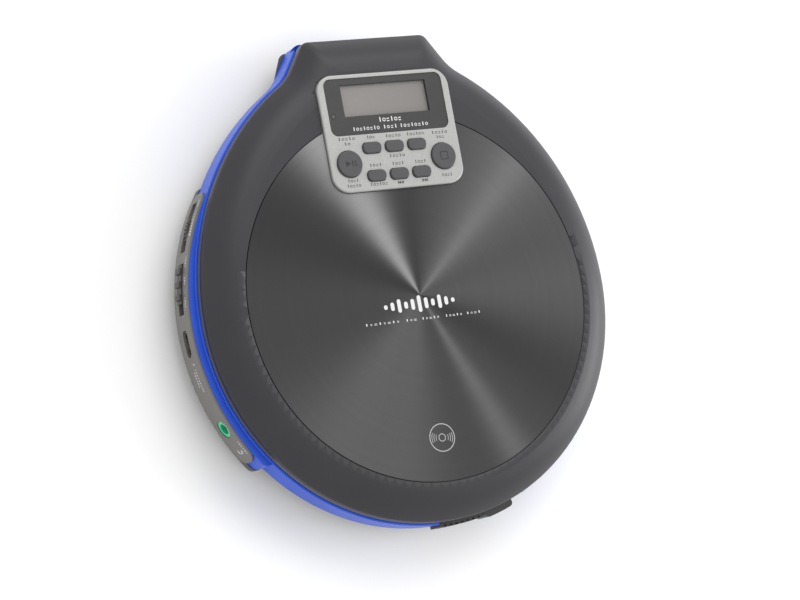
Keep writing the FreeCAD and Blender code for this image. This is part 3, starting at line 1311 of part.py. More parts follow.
def make_rack():
    """Toothed rack on the side of the pickup."""
    bottom = SLED_BOTTOM + 0.2
    pitch = math.pi * RACK_MODULE
    tip = RACK_PITCH_X - 0.8 * RACK_MODULE
    root = RACK_PITCH_X + 1.15 * RACK_MODULE
    count = int((RACK_END_Y - RACK_START_Y) / pitch)
    first = GEAR_Y - pitch * (int((GEAR_Y - RACK_START_Y) / pitch) - 0.5)
    points = [Vector(-SLED_HALF_WIDTH, RACK_START_Y, bottom), Vector(root, RACK_START_Y, bottom)]
    for i in range(count - 1):
        centre = first + i * pitch
        for offset, x in ((-0.30, root), (-TOOTH_SHARE / 4, tip), (TOOTH_SHARE / 4, tip), (0.30, root)):
            points.append(Vector(x, centre + offset * pitch, bottom))
    points += [Vector(root, RACK_END_Y, bottom), Vector(-SLED_HALF_WIDTH, RACK_END_Y, bottom)]
    return Part.Face(Part.makePolygon(points + points[:1])).extrude(Vector(0, 0, 1.6))


def make_sled_motor():
    """Small motor that drives the pickup along."""
    y = sled_motor_y()
    can = post(gear_x(), y, FOOT_HEIGHT + BASE_WALL, GEAR_BOTTOM - 1.0, SLED_MOTOR_RADIUS)
    nose = post(gear_x(), y, GEAR_BOTTOM - 1.0 - EPSILON, GEAR_BOTTOM - 0.4, 1.8)
    return fuse_all([can, nose]).cut(post(gear_x(), y, 6.0, 30, 0.55))


def make_motor_pinion():
    """Pinion on the sled motor's shaft."""
    pinion = toothed_wheel(PINION_TEETH, WHEEL_MODULE, GEAR_BOTTOM, GEAR_BOTTOM + GEAR_THICKNESS, 0.3, 0.5)
    shaft = post(0, 0, 6.2, GEAR_BOTTOM + GEAR_THICKNESS, 0.5)
    pinion = fuse_all([pinion, shaft])
    pinion.rotate(Vector(0, 0, 0), Z_AXIS, 90)
    pinion.translate(Vector(gear_x(), sled_motor_y(), 0))
    return pinion


PIECES = {
    "lid_shell": make_lid_shell, "lid_insert": make_lid_insert, "lid_liner": make_lid_liner,
    "liner_screws": make_liner_screws, "lid_hook": make_lid_hook, "panel_bezel": make_panel_bezel,
    "display_window": make_display_window, "display_module": make_display_module,
    "status_lamp": make_status_lamp, "control_board": make_control_board, "keypad_mat": make_keypad_mat,
    "ribbon_cable": make_ribbon_cable, "mid_case": make_mid_case, "disc_tray": make_disc_tray,
    "bottom_case": make_bottom_case, "battery_door": make_battery_door, "rubber_feet": make_rubber_feet,
    "case_screws": make_case_screws, "side_control_panel": make_side_control_panel,
    "volume_wheel": make_volume_wheel, "volume_potentiometer": make_volume_potentiometer,
    "slide_switch_knob": make_slide_switch_knob, "slide_switch_housing": make_slide_switch_housing,
    "usb_socket": make_usb_socket, "headphone_jack": make_headphone_jack,
    "headphone_collar": make_headphone_collar, "main_board": make_main_board, "board_chips": make_board_chips,
    "open_slider": make_open_slider, "latch_spring": make_latch_spring,
    "lid_sense_plunger": make_lid_sense_plunger, "lid_sense_switch": make_lid_sense_switch,
    "hinge_pins": make_hinge_pins, "lid_spring": make_lid_spring, "aa_cells": make_aa_cells,
    "battery_springs": make_battery_springs, "battery_contact_plates": make_battery_contact_plates,
    "mechanism_chassis": make_mechanism_chassis, "guide_rods": make_guide_rods,
    "rubber_dampers": make_rubber_dampers, "spindle_motor": make_spindle_motor,
    "spindle_shaft": make_spindle_shaft, "turntable": make_turntable, "clamp_balls": make_clamp_balls,
    "turntable_mat": make_turntable_mat, "pickup": make_pickup, "lens_holder": make_lens_holder,
    "objective_lens": make_objective_lens, "drive_gear": make_drive_gear,
    "rack": make_rack, "sled_motor": make_sled_motor, "motor_pinion": make_motor_pinion,
}


def all_pieces():
    """Every piece by name, with the spindle on the Z axis."""
    pieces = {name: make() for name, make in PIECES.items()}
    pieces.update({name: make_round_button(x, y) for name, x, y in round_button_places()})
    pieces.update({name: make_small_button(x, y) for name, x, y in small_button_places()})
    return pieces


def footprint_centre(pieces):
    """Middle of the overall box, at table height."""
    whole = FreeCAD.BoundBox()
    for shape in pieces.values():
        whole.add(shape.optimalBoundingBox(False, False))
    return Vector(whole.Center.x, whole.Center.y, 0)


def main():
    """Builds every piece and writes it with the origin under the middle of the player."""
    os.makedirs("parts", exist_ok=True)
    pieces = all_pieces()
    centre = footprint_centre(pieces)
    for name, shape in pieces.items():
        export(name, shape.translated(centre * -1))


main()
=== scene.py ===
import math

import bmesh
import bpy
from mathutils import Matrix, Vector


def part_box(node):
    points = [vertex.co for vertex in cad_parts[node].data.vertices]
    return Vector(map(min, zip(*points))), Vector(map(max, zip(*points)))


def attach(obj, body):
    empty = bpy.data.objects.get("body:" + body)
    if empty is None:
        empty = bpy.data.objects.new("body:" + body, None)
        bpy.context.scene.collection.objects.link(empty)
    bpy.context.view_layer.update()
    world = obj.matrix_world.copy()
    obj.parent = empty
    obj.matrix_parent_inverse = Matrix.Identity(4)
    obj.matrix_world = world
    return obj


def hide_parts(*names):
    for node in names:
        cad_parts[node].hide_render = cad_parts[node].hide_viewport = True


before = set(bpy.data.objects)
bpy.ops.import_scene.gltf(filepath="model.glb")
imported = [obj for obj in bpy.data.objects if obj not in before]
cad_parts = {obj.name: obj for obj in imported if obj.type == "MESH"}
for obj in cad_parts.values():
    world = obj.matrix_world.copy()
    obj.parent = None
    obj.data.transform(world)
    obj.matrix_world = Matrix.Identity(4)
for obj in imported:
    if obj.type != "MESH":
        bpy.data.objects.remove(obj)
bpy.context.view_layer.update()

MM = 0.001
WHITE = (1.0, 1.0, 1.0)

# ---- places that the pieces are set out from ----
SPINDLE = (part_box("turntable")[0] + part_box("turntable")[1]) / 2
INSERT_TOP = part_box("lid_insert")[1].z
LID_CENTRE = Vector((SPINDLE.x, SPINDLE.y, INSERT_TOP))
BEZEL_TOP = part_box("panel_bezel")[1].z
WINDOW_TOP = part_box("display_window")[1].z
DISPLAY_LOW, DISPLAY_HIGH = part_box("display_module")
DISPLAY_CENTRE = ((DISPLAY_LOW.x + DISPLAY_HIGH.x) / 2, (DISPLAY_LOW.y + DISPLAY_HIGH.y) / 2, 0)
SIDE_LOW, SIDE_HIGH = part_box("side_control_panel")
PANEL_RADIUS = SPINDLE.x - SIDE_LOW.x
SKIRT_HEIGHT = 3.2 * MM
SKIRT_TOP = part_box("lid_shell")[0].z + SKIRT_HEIGHT
VIEW_HALF_WIDTH = 14.9 * MM
VIEW_HALF_DEPTH = 5.0 * MM
INK = 0.04 * MM
SINK = 0.008 * MM
MIX_FACTOR = 0
MIX_A = 6
MIX_B = 7
MIX_RESULT = 2


# ---------------------------------------------------------------- finishes
class Wire:
    """One output of a finish's nodes. Arithmetic on it adds Math nodes."""

    def __init__(self, finish, socket):
        self.finish = finish
        self.socket = socket

    def maths(self, operation, *values):
        return self.finish.add("ShaderNodeMath", {"operation": operation}, dict(enumerate(values)))

    def __add__(self, other):
        return self.maths("ADD", self, other)

    def __radd__(self, other):
        return self.maths("ADD", other, self)

    def __sub__(self, other):
        return self.maths("SUBTRACT", self, other)

    def __rsub__(self, other):
        return self.maths("SUBTRACT", other, self)

    def __mul__(self, other):
        return self.maths("MULTIPLY", self, other)

    def __rmul__(self, other):
        return self.maths("MULTIPLY", other, self)

    def __truediv__(self, other):
        return self.maths("DIVIDE", self, other)

    def __pow__(self, other):
        return self.maths("POWER", self, other)

    def __abs__(self):
        return self.maths("ABSOLUTE", self)

    def at_least(self, other):
        return self.maths("MAXIMUM", self, other)


class Finish:
    """A material and the nodes that give it its colour, gloss and grain."""

    def __init__(self, name):
        self.material = bpy.data.materials.new(name)
        self.material.use_nodes = True
        self.tree = self.material.node_tree
        self.skin = self.tree.nodes["Principled BSDF"]

    def feed(self, socket, value):
        if isinstance(value, Wire):
            self.tree.links.new(value.socket, socket)
        elif socket.type == "RGBA":
            socket.default_value = (*value, 1.0)
        else:
            socket.default_value = value

    def add(self, kind, settings, inputs, output=0):
        node = self.tree.nodes.new(kind)
        for name, value in settings.items():
            setattr(node, name, value)
        for key, value in inputs.items():
            self.feed(node.inputs[key], value)
        return Wire(self, node.outputs[output])

    def surface(self, **values):
        for name, value in values.items():
            self.feed(self.skin.inputs[name.replace("_", " ")], value)
        return self

    def place(self, centre=(0, 0, 0), turn=(0, 0, 0), scale=(1, 1, 1)):
        """Position on the piece in metres, measured from a centre."""
        position = self.add("ShaderNodeTexCoord", {}, {}, "Object")
        return self.add("ShaderNodeMapping", {"vector_type": "TEXTURE"},
                        {"Vector": position, "Location": centre, "Rotation": turn, "Scale": scale})

    def axes(self, place, letters):
        """The named parts of a position, such as its "xy"."""
        return [self.add("ShaderNodeSeparateXYZ", {}, {"Vector": place}, "xyz".index(letter))
                for letter in letters]

    def noise(self, place, scale, detail=3.0, roughness=0.5):
        inputs = {"Vector": place, "Scale": scale, "Detail": detail, "Roughness": roughness}
        return self.add("ShaderNodeTexNoise", {}, inputs)

    def rise(self, value, low, high):
        """0 below low, 1 above high, and smooth between."""
        settings = {"interpolation_type": "SMOOTHSTEP"}
        return self.add("ShaderNodeMapRange", settings, {"Value": value, "From Min": low, "From Max": high})

    def mix(self, factor, first, second):
        return self.add("ShaderNodeMix", {"data_type": "RGBA"},
                        {MIX_FACTOR: factor, MIX_A: first, MIX_B: second}, MIX_RESULT)

    def bump(self, height, depth, strength=1.0):
        return self.add("ShaderNodeBump", {}, {"Strength": strength, "Distance": depth, "Height": height})


def shade(colour, factor):
    return tuple(min(1.0, channel * factor) for channel in colour)


def moulded(name, colour, roughness, grain=0.35 * MM, depth=0.012 * MM, variation=0.12, **constants):
    """Moulded plastic: spark-eroded grain, cloudy gloss and a slight change of colour."""
    finish = Finish(name)
    place = finish.place()
    fine = finish.noise(place, 1.0 / grain, 2.0, 0.6)
    cloud = finish.noise(place, 1.0 / (18 * MM), 3.0)
    colours = finish.mix(0.35 * fine + 0.65 * cloud,
                         shade(colour, 1 - variation), shade(colour, 1 + variation))
    finish.surface(Base_Color=colours, Roughness=roughness + 0.12 * (cloud - 0.5) + 0.06 * (fine - 0.5),
                   Normal=finish.bump(fine, depth), **constants)
    return finish


def sheet_metal(name, colour, roughness, direction=(1, 40, 40), **constants):
    """Rolled or ground metal with fine lines along one direction."""
    finish = Finish(name)
    lines = finish.noise(finish.place(scale=tuple(1 / stretch for stretch in direction)), 220.0, 4.0, 0.7)
    cloud = finish.noise(finish.place(), 140.0, 3.0)
    colours = finish.mix(lines, shade(colour, 0.8), shade(colour, 1.15))
    finish.surface(Base_Color=colours, Metallic=1.0, Roughness=roughness + 0.15 * (cloud - 0.5),
                   Normal=finish.bump(lines, 0.01 * MM, 0.5), **constants)
    return finish


# Painted sheen about the spindle: rows with a positive strength paint a highlight wedge, rows with a
# negative strength paint a darker wedge; columns are angle in degrees, sharpness and strength.
PAINTED_SHEEN_SPOKES = (
    (42, 12, 0.060), (42, 150, 0.030), (114, 45, 0.150), (229, 14, 0.050), (256, 30, 0.030),
    (294, 160, 0.050), (0, 20, 0.030), (147, 20, -0.032), (325, 30, -0.026), (88, 60, -0.016),
)


def spun_metal():
    """Dark anodised sheet, spun in fine rings, with wedges of painted highlight and painted shade about the
    spindle.
    """
    finish = Finish("spun_metal")
    x, y = finish.axes(finish.place((SPINDLE.x, SPINDLE.y, 0)), "xy")
    radius = (x * x + y * y + 1e-9) ** 0.5
    # The sheen is painted highlight and painted shade: brightness painted into the colour by angle round the
    # spindle.
    sheen = 0.078
    for angle, sharpness, strength in PAINTED_SHEEN_SPOKES:
        turn = math.radians(angle)
        toward = ((x * math.cos(turn) + y * math.sin(turn)) / radius).at_least(0.0)
        sheen = sheen + strength * toward ** sharpness
    rings = finish.add("ShaderNodeCombineXYZ", {}, {0: radius})
    fine = finish.noise(rings, 5200.0, 2.0, 0.7)
    broad = finish.noise(rings, 420.0, 2.0, 0.6)
    # Painted sheen, broken up by the real spun rings.
    level = sheen * (0.86 + 0.16 * fine + 0.12 * broad)
    colours = finish.mix(finish.rise(level, 0.02, 0.32), (0.026, 0.026, 0.027), (0.30, 0.298, 0.302))
    finish.surface(Base_Color=colours, Metallic=0.85, Roughness=0.34 + 0.08 * fine,
                   Normal=finish.bump(fine, 0.002 * MM, 0.6), Anisotropic=0.5, Anisotropic_Rotation=0.25)
    return finish


def lid_plastic():
    """Dark satin plastic of the lid, made paler in a band round its lowest edge."""
    finish = Finish("lid_plastic")
    place = finish.place()
    (z,) = finish.axes(place, "z")
    fine = finish.noise(place, 2800.0, 2.0, 0.6)
    cloud = finish.noise(place, 55.0, 3.0)
    crown = finish.mix(cloud, (0.021, 0.0195, 0.023), (0.028, 0.0265, 0.031))
    # Paler colour used below a height 3.2 mm above the lid's lowest edge.
    lower_band_colour = finish.mix(cloud, (0.098, 0.092, 0.086), (0.118, 0.111, 0.104))
    above = finish.rise(z, SKIRT_TOP - 0.12 * MM, SKIRT_TOP + 0.12 * MM)
    finish.surface(Base_Color=finish.mix(above, lower_band_colour, crown),
                   Roughness=0.40 + 0.10 * (cloud - 0.5) + 0.05 * fine,
                   Normal=finish.bump(fine, 0.010 * MM), Specular_IOR_Level=0.42)
    return finish


def silver_paint():
    """Satin silver paint with fine flakes."""
    finish = Finish("silver_paint")
    place = finish.place()
    flakes = finish.noise(place, 3800.0, 1.0)
    cloud = finish.noise(place, 90.0, 2.0)
    colours = finish.mix(flakes, (0.30, 0.30, 0.295), (0.46, 0.46, 0.45))
    finish.surface(Base_Color=colours, Metallic=0.35, Roughness=0.38 + 0.06 * (cloud - 0.5),
                   Normal=finish.bump(flakes, 0.004 * MM))
    return finish


def tinted_window():
    """Clear cover, painted dark behind except over the display."""
    finish = Finish("tinted_window")
    x, y = finish.axes(finish.place(DISPLAY_CENTRE), "xy")
    beyond = (abs(x) - VIEW_HALF_WIDTH).at_least(abs(y) - VIEW_HALF_DEPTH)
    paint = finish.rise(beyond, -0.02 * MM, 0.05 * MM)
    cloud = finish.noise(finish.place(), 200.0, 2.0)
    colours = finish.mix(cloud, (0.036, 0.036, 0.036), (0.046, 0.046, 0.046))
    finish.surface(Base_Color=colours, Alpha=0.10 + 0.90 * paint, Roughness=0.10 + 0.05 * cloud,
                   Specular_IOR_Level=0.5)
    return finish


def display_glass():
    """Grey polariser of an unlit liquid crystal display, with painted shade darkening it towards its right.
    """
    finish = Finish("display_glass")
    (x,) = finish.axes(finish.place(DISPLAY_CENTRE), "x")
    # Painted shade: the colour darkens from left to right across the display.
    painted_shade = finish.rise(x, -15 * MM, 16 * MM)
    speckle = finish.noise(finish.place(), 2600.0, 2.0)
    colours = finish.mix(0.75 * painted_shade + 0.25 * speckle, (0.335, 0.315, 0.305), (0.285, 0.268, 0.260))
    finish.surface(Base_Color=colours, Roughness=0.35 + 0.1 * speckle)
    return finish


def blue_shell():
    """Bright blue tinted plastic that glows a little where it is thin."""
    finish = Finish("blue_shell")
    place = finish.place()
    fine = finish.noise(place, 2600.0, 2.0)
    cloud = finish.noise(place, 70.0, 3.0)
    colours = finish.mix(cloud, (0.005, 0.055, 0.50), (0.010, 0.095, 0.66))
    finish.surface(Base_Color=colours, Roughness=0.36 + 0.08 * (fine - 0.5),
                   Normal=finish.bump(fine, 0.008 * MM), Subsurface_Weight=0.12, Subsurface_Scale=0.002,
                   Specular_IOR_Level=0.5)
    return finish


def knurled_black():
    """Black plastic with worn, polished crests."""
    finish = Finish("knurled_black")
    place = finish.place()
    wear = finish.noise(place, 900.0, 3.0)
    colours = finish.mix(wear, (0.022, 0.022, 0.022), (0.060, 0.058, 0.056))
    finish.surface(Base_Color=colours, Roughness=0.32 + 0.18 * wear, Normal=finish.bump(wear, 0.01 * MM))
    return finish


def soft_rubber(name, colour, roughness):
    """Silicone rubber with a dusty sheen."""
    finish = Finish(name)
    place = finish.place()
    dust = finish.noise(place, 500.0, 4.0, 0.65)
    fine = finish.noise(place, 4200.0, 2.0)
    colours = finish.mix(dust, shade(colour, 0.85), shade(colour, 1.25))
    finish.surface(Base_Color=colours, Roughness=roughness + 0.1 * (dust - 0.5), Sheen_Weight=0.15,
                   Normal=finish.bump(fine, 0.006 * MM))
    return finish


def jack_green():
    finish = moulded("jack_green", (0.045, 0.56, 0.27), 0.22, grain=0.6 * MM, depth=0.004 * MM,
                     variation=0.15)
    finish.surface(Coat_Weight=0.4, Coat_Roughness=0.12)
    return finish


def board_mask():
    """Green solder mask with copper tracks that show through it."""
    finish = Finish("board_mask")
    tracks = finish.add("ShaderNodeTexBrick", {"offset": 0.5},
                        {"Vector": finish.place(), "Scale": 160.0, "Mortar Size": 0.03}, "Fac")
    cloud = finish.noise(finish.place(), 300.0, 3.0)
    base = finish.mix(cloud, (0.012, 0.11, 0.045), (0.020, 0.16, 0.065))
    colours = finish.mix(tracks, base, (0.05, 0.27, 0.10))
    finish.surface(Base_Color=colours, Roughness=0.30 + 0.1 * cloud, Normal=finish.bump(tracks, 0.02 * MM),
                   Coat_Weight=0.3)
    return finish


def lens_coating():
    """Coated lens with a blue-violet bloom towards its edge."""
    finish = Finish("lens_coating")
    low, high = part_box("objective_lens")
    centre = (low + high) / 2
    x, y = finish.axes(finish.place((centre.x, centre.y, 0)), "xy")
    radius = (x * x + y * y + 1e-12) ** 0.5
    bloom = finish.rise(radius, 0.3 * MM, 2.4 * MM)
    colours = finish.mix(bloom, (0.05, 0.09, 0.34), (0.20, 0.07, 0.36))
    finish.surface(Base_Color=colours, Roughness=0.04 + 0.03 * bloom, Coat_Weight=1.0, Coat_Roughness=0.02,
                   IOR=1.6)
    return finish


def cell_jacket():
    """Printed battery sleeve: two plain colour bands and a bare metal end."""
    finish = Finish("cell_jacket")
    low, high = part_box("aa_cells")
    (y,) = finish.axes(finish.place(), "y")
    band = finish.rise(y, low.y + 34 * MM, low.y + 34.2 * MM)
    scuff = finish.noise(finish.place(), 400.0, 4.0)
    ends = finish.rise(abs(y - (low.y + high.y) / 2), 24.4 * MM, 24.7 * MM)
    sleeve = finish.mix(band, (0.035, 0.036, 0.040), (0.55, 0.36, 0.10))
    colours = finish.mix(ends, sleeve, (0.62, 0.61, 0.58))
    finish.surface(Base_Color=colours, Metallic=ends, Roughness=0.26 + 0.16 * scuff)
    return finish


def printing(name, colour):
    """Pad-printed ink, thin and a little uneven."""
    finish = Finish(name)
    cover = finish.noise(finish.place(), 2200.0, 3.0)
    finish.surface(Base_Color=finish.mix(cover, shade(colour, 0.86), colour), Roughness=0.50 + 0.15 * cover)
    return finish


FINISHES = {
    "lid_plastic": lid_plastic(),
    "spun_metal": spun_metal(),
    "silver_paint": silver_paint(),
    "tinted_window": tinted_window(),
    "display_glass": display_glass(),
    "blue_shell": blue_shell(),
    "side_plastic": moulded("side_plastic", (0.150, 0.145, 0.135), 0.40, grain=0.4 * MM),
    "base_plastic": moulded("base_plastic", (0.075, 0.073, 0.070), 0.50, grain=0.5 * MM, depth=0.03 * MM),
    "tray_plastic": moulded("tray_plastic", (0.022, 0.022, 0.023), 0.46, grain=0.5 * MM, depth=0.02 * MM),
    "liner_plastic": moulded("liner_plastic", (0.030, 0.030, 0.031), 0.42, grain=0.6 * MM, depth=0.02 * MM),
    "slider_plastic": moulded("slider_plastic", (0.030, 0.029, 0.030), 0.36),
    "socket_plastic": moulded("socket_plastic", (0.012, 0.012, 0.012), 0.40),
    "mechanism_plastic": moulded("mechanism_plastic", (0.035, 0.036, 0.038), 0.48, variation=0.2),
    "natural_plastic": moulded("natural_plastic", (0.72, 0.70, 0.63), 0.34, grain=0.8 * MM, variation=0.05,
                               Subsurface_Weight=0.1, Subsurface_Scale=0.001),
    "lamp_plastic": moulded("lamp_plastic", (0.09, 0.09, 0.09), 0.15, variation=0.1),
    "film": moulded("film", (0.60, 0.59, 0.55), 0.35, grain=1.5 * MM, variation=0.08),
    "knurled_black": knurled_black(),
    "key_rubber": soft_rubber("key_rubber", (0.048, 0.046, 0.050), 0.46),
    "foot_rubber": soft_rubber("foot_rubber", (0.020, 0.020, 0.020), 0.70),
    "mat_rubber": soft_rubber("mat_rubber", (0.028, 0.027, 0.026), 0.80),
    "jack_green": jack_green(),
    "steel": sheet_metal("steel", (0.52, 0.52, 0.53), 0.26, (30, 30, 1)),
    "plated": sheet_metal("plated", (0.66, 0.64, 0.60), 0.22, (1, 20, 20)),
    "pressed_steel": sheet_metal("pressed_steel", (0.46, 0.46, 0.45), 0.34, (1, 30, 30)),
    "brass": sheet_metal("brass", (0.70, 0.49, 0.20), 0.25, (20, 20, 1)),
    "board_mask": board_mask(),
    "lens_coating": lens_coating(),
    "cell_jacket": cell_jacket(),
    "white_ink": printing("white_ink", (0.72, 0.72, 0.72)),
    "grey_ink": printing("grey_ink", (0.40, 0.40, 0.40)),
    "dark_ink": printing("dark_ink", (0.055, 0.055, 0.055)),
    "engraving": printing("engraving", (0.016, 0.016, 0.018)),
}

CAD_FINISHES = {
    "lid_plastic": ("lid_shell", "lid_hook"),
    "spun_metal": ("lid_insert",),
    "silver_paint": ("panel_bezel",),
    "tinted_window": ("display_window",),
    "display_glass": ("display_module",),
    "blue_shell": ("mid_case",),
    "side_plastic": ("side_control_panel",),
    "base_plastic": ("bottom_case", "battery_door"),
    "tray_plastic": ("disc_tray", "lid_sense_plunger"),
    "liner_plastic": ("lid_liner",),
    "slider_plastic": ("open_slider",),
    "socket_plastic": ("headphone_jack", "slide_switch_housing", "lid_sense_switch", "board_chips"),
    "mechanism_plastic": ("pickup", "turntable", "lens_holder"),
    "natural_plastic": ("drive_gear", "rack"),
    "lamp_plastic": ("status_lamp",),
    "film": ("ribbon_cable",),
    "knurled_black": ("volume_wheel", "slide_switch_knob"),
    "key_rubber": ("play_button", "stop_button", "anti_shock_button", "bass_button", "folder_button",
                   "mode_button", "back_button", "next_button", "keypad_mat"),
    "foot_rubber": ("rubber_feet", "rubber_dampers"),
    "mat_rubber": ("turntable_mat",),
    "jack_green": ("headphone_collar",),
    "steel": ("hinge_pins", "guide_rods", "case_screws", "liner_screws", "spindle_shaft", "clamp_balls",
              "lid_spring", "latch_spring", "battery_springs"),
    "plated": ("battery_contact_plates", "usb_socket", "volume_potentiometer"),
    "pressed_steel": ("mechanism_chassis", "spindle_motor", "sled_motor"),
    "brass": ("motor_pinion",),
    "board_mask": ("main_board", "control_board"),
    "lens_coating": ("objective_lens",),
    "cell_jacket": ("aa_cells",),
}


def coat(piece, finish):
    """Gives a piece one finish all over."""
    piece.data.materials.clear()
    piece.data.materials.append(FINISHES[finish].material)


# ---------------------------------------------------------------- flat marks
def deselect():
    bpy.ops.object.select_all(action="DESELECT")


def settle(piece, centre, turn):
    """Moves a flat mark to its place, with the place in its mesh."""
    deselect()
    piece.select_set(True)
    bpy.context.view_layer.objects.active = piece
    piece.location = centre
    piece.rotation_euler = turn
    bpy.ops.object.transform_apply(location=True, rotation=True, scale=True)
    return piece


def thicken(piece):
    """Gives a flat sheet the thickness of printed ink."""
    layer = piece.modifiers.new("ink", "SOLIDIFY")
    layer.thickness = INK
    layer.offset = 1.0
    bpy.ops.object.modifier_apply(modifier=layer.name)
    return piece


def bar(width, depth, corner=0.0):
    """Flat bar with rounded corners, in the plane z = 0."""
    deselect()
    bpy.ops.mesh.primitive_plane_add(size=1)
    piece = bpy.context.object
    piece.scale = (width, depth, 1)
    bpy.ops.object.transform_apply(scale=True)
    if corner:
        bpy.ops.object.mode_set(mode="EDIT")
        bpy.ops.mesh.select_all(action="SELECT")
        bpy.ops.mesh.bevel(offset=corner, segments=4, affect="VERTICES")
        bpy.ops.object.mode_set(mode="OBJECT")
    return thicken(piece)


def triangle(size):
    """Flat triangle that points along +X."""
    deselect()
    bpy.ops.mesh.primitive_circle_add(vertices=3, radius=size, fill_type="NGON",
                                      rotation=(0, 0, -math.pi / 2))
    bpy.ops.object.transform_apply(rotation=True)
    bpy.ops.object.mode_set(mode="EDIT")
    bpy.ops.mesh.select_all(action="SELECT")
    bpy.ops.mesh.bevel(offset=0.05 * size, segments=2, affect="VERTICES")
    bpy.ops.object.mode_set(mode="OBJECT")
    return thicken(bpy.context.object)


WELD = 0.01 * MM
DEGREES_PER_STEP = 6
FEWEST_STEPS = 12


def ring(inner, outer, start=0, end=360):
    """Flat ring, or an arc of one, in the plane z = 0."""
    deselect()
    steps = max(FEWEST_STEPS, round((end - start) / DEGREES_PER_STEP))
    bpy.ops.mesh.primitive_plane_add(size=1)
    piece = bpy.context.object
    bpy.ops.object.mode_set(mode="EDIT")
    bpy.ops.mesh.select_all(action="SELECT")
    bpy.ops.mesh.delete(type="ONLY_FACE")
    bpy.ops.object.mode_set(mode="OBJECT")
    first = Vector((math.cos(math.radians(start)), math.sin(math.radians(start)), 0))
    for vertex, reach in zip(piece.data.vertices, (inner, outer, inner, outer)):
        vertex.co = first * reach
    bpy.ops.object.mode_set(mode="EDIT")
    bpy.ops.mesh.select_all(action="SELECT")
    bpy.ops.mesh.remove_doubles(threshold=WELD)
    bpy.ops.mesh.select_all(action="SELECT")
    bpy.ops.mesh.spin(steps=steps, angle=math.radians(end - start), center=(0, 0, 0), axis=(0, 0, 1))
    bpy.ops.mesh.select_all(action="SELECT")
    bpy.ops.mesh.remove_doubles(threshold=WELD)
    bpy.ops.mesh.normals_make_consistent(inside=False)
    bpy.ops.object.mode_set(mode="OBJECT")
    if piece.data.polygons[0].normal.z < 0:
        piece.data.flip_normals()
    return thicken(piece)


def gather(name, marks, body, finish):
    """Joins flat marks into one piece that rides with a body."""
    deselect()
    for mark in marks:
        mark.select_set(True)
    bpy.context.view_layer.objects.active = marks[0]
    if len(marks) > 1:
        bpy.ops.object.join()
    piece = bpy.context.view_layer.objects.active
    piece.name = name
    piece.data.name = name
    coat(piece, finish)
    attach(piece, body)
    return piece


def lay(mark, x, y, height, turn=0.0):
    """Lays a mark flat, at millimetres from the spindle, on a surface at a height."""
    centre = (SPINDLE.x + x * MM, SPINDLE.y + y * MM, height - SINK)
    return settle(mark, centre, (0, 0, math.radians(turn)))


def stand(mark, angle, height, along=0.0, turn=0.0):
    """Stands a mark on the curved side panel, with its own X towards larger heights when turned 90."""
    around = math.radians(angle) + along / PANEL_RADIUS
    reach = PANEL_RADIUS - SINK
    centre = (SPINDLE.x + reach * math.cos(around), SPINDLE.y + reach * math.sin(around), height)
    deselect()
    mark.select_set(True)
    bpy.context.view_layer.objects.active = mark
    mark.rotation_euler = (0, 0, math.radians(turn))
    bpy.ops.object.transform_apply(rotation=True)
    return settle(mark, centre, (math.pi / 2, 0, around + math.pi / 2))


def word(x, y, width, height, surface, letters):
    """Row of short strokes that stands for a printed word."""
    pitch = width / letters
    marks = []
    for i in range(letters):
        left = x - width / 2 + (i + 0.5) * pitch
        if i % 3 == 1:
            reach = min(0.42 * height, 0.42 * pitch) * MM
            marks.append(lay(ring(0.6 * reach, reach), left, y - 0.1 * height, surface))
        elif i % 3 == 0:
            marks.append(lay(bar(0.26 * pitch * MM, height * MM), left, y, surface))
        else:
            marks += [lay(bar(0.62 * pitch * MM, 0.2 * height * MM), left, y + level * height, surface)
                      for level in (-0.4, 0.1)]
    return marks


# ---------------------------------------------------------------- smooth lid
MERGE_REACH = 0.005 * MM
SMOOTH_ANGLE = math.radians(24)
LEVEL = 0.9999


def smooth_lid():
    """The lid shell as one smooth skin, with a crease round its level top."""
    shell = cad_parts["lid_shell"]
    lid = bpy.data.objects.new("smooth_lid_shell", shell.data.copy())
    bpy.context.scene.collection.objects.link(lid)
    deselect()
    lid.select_set(True)
    bpy.context.view_layer.objects.active = lid
    bpy.ops.object.mode_set(mode="EDIT")
    bpy.ops.mesh.select_all(action="SELECT")
    bpy.ops.mesh.remove_doubles(threshold=MERGE_REACH)
    bpy.ops.object.mode_set(mode="OBJECT")
    bpy.ops.object.shade_smooth_by_angle(angle=SMOOTH_ANGLE)
    skin = bmesh.new()
    skin.from_mesh(lid.data)
    for edge in skin.edges:
        if len({face.normal.z > LEVEL for face in edge.link_faces}) == 2:
            edge.smooth = False
    skin.to_mesh(lid.data)
    skin.free()
    even = lid.modifiers.new("even", "WEIGHTED_NORMAL")
    even.keep_sharp = True
    even.weight = 100
    bpy.ops.object.modifier_apply(modifier=even.name)
    coat(lid, "lid_plastic")
    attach(lid, "lid")
    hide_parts("lid_shell")


# ---------------------------------------------------------------- marks on the lid
BADGE_HEIGHTS = (1.4, 2.6, 4.2, 2.2, 3.4, 5.2, 3.4, 2.2, 4.2, 2.6, 1.4)
BADGE_PITCH = 2.35
BADGE_X = -0.75
BADGE_Y = -2.7
BADGE_LINE_Y = -7.4


def emblem():
    """Sound-wave badge and the fine line of strokes under it."""
    first = BADGE_X - BADGE_PITCH * (len(BADGE_HEIGHTS) - 1) / 2
    marks = [lay(bar(1.25 * MM, tall * MM, 0.6 * MM), first + i * BADGE_PITCH, BADGE_Y, INSERT_TOP)
             for i, tall in enumerate(BADGE_HEIGHTS)]
    gather("lid_wave_badge", marks, "lid", "white_ink")
    line = []
    for centre, width, letters in ((-14.6, 12.4, 8), (-4.6, 4.2, 3), (2.2, 6.6, 5), (10.4, 6.4, 5),
                                   (17.4, 5.4, 4)):
        line += word(centre, BADGE_LINE_Y, width, 0.72, INSERT_TOP, letters)
    gather("lid_badge_line", line, "lid", "white_ink")


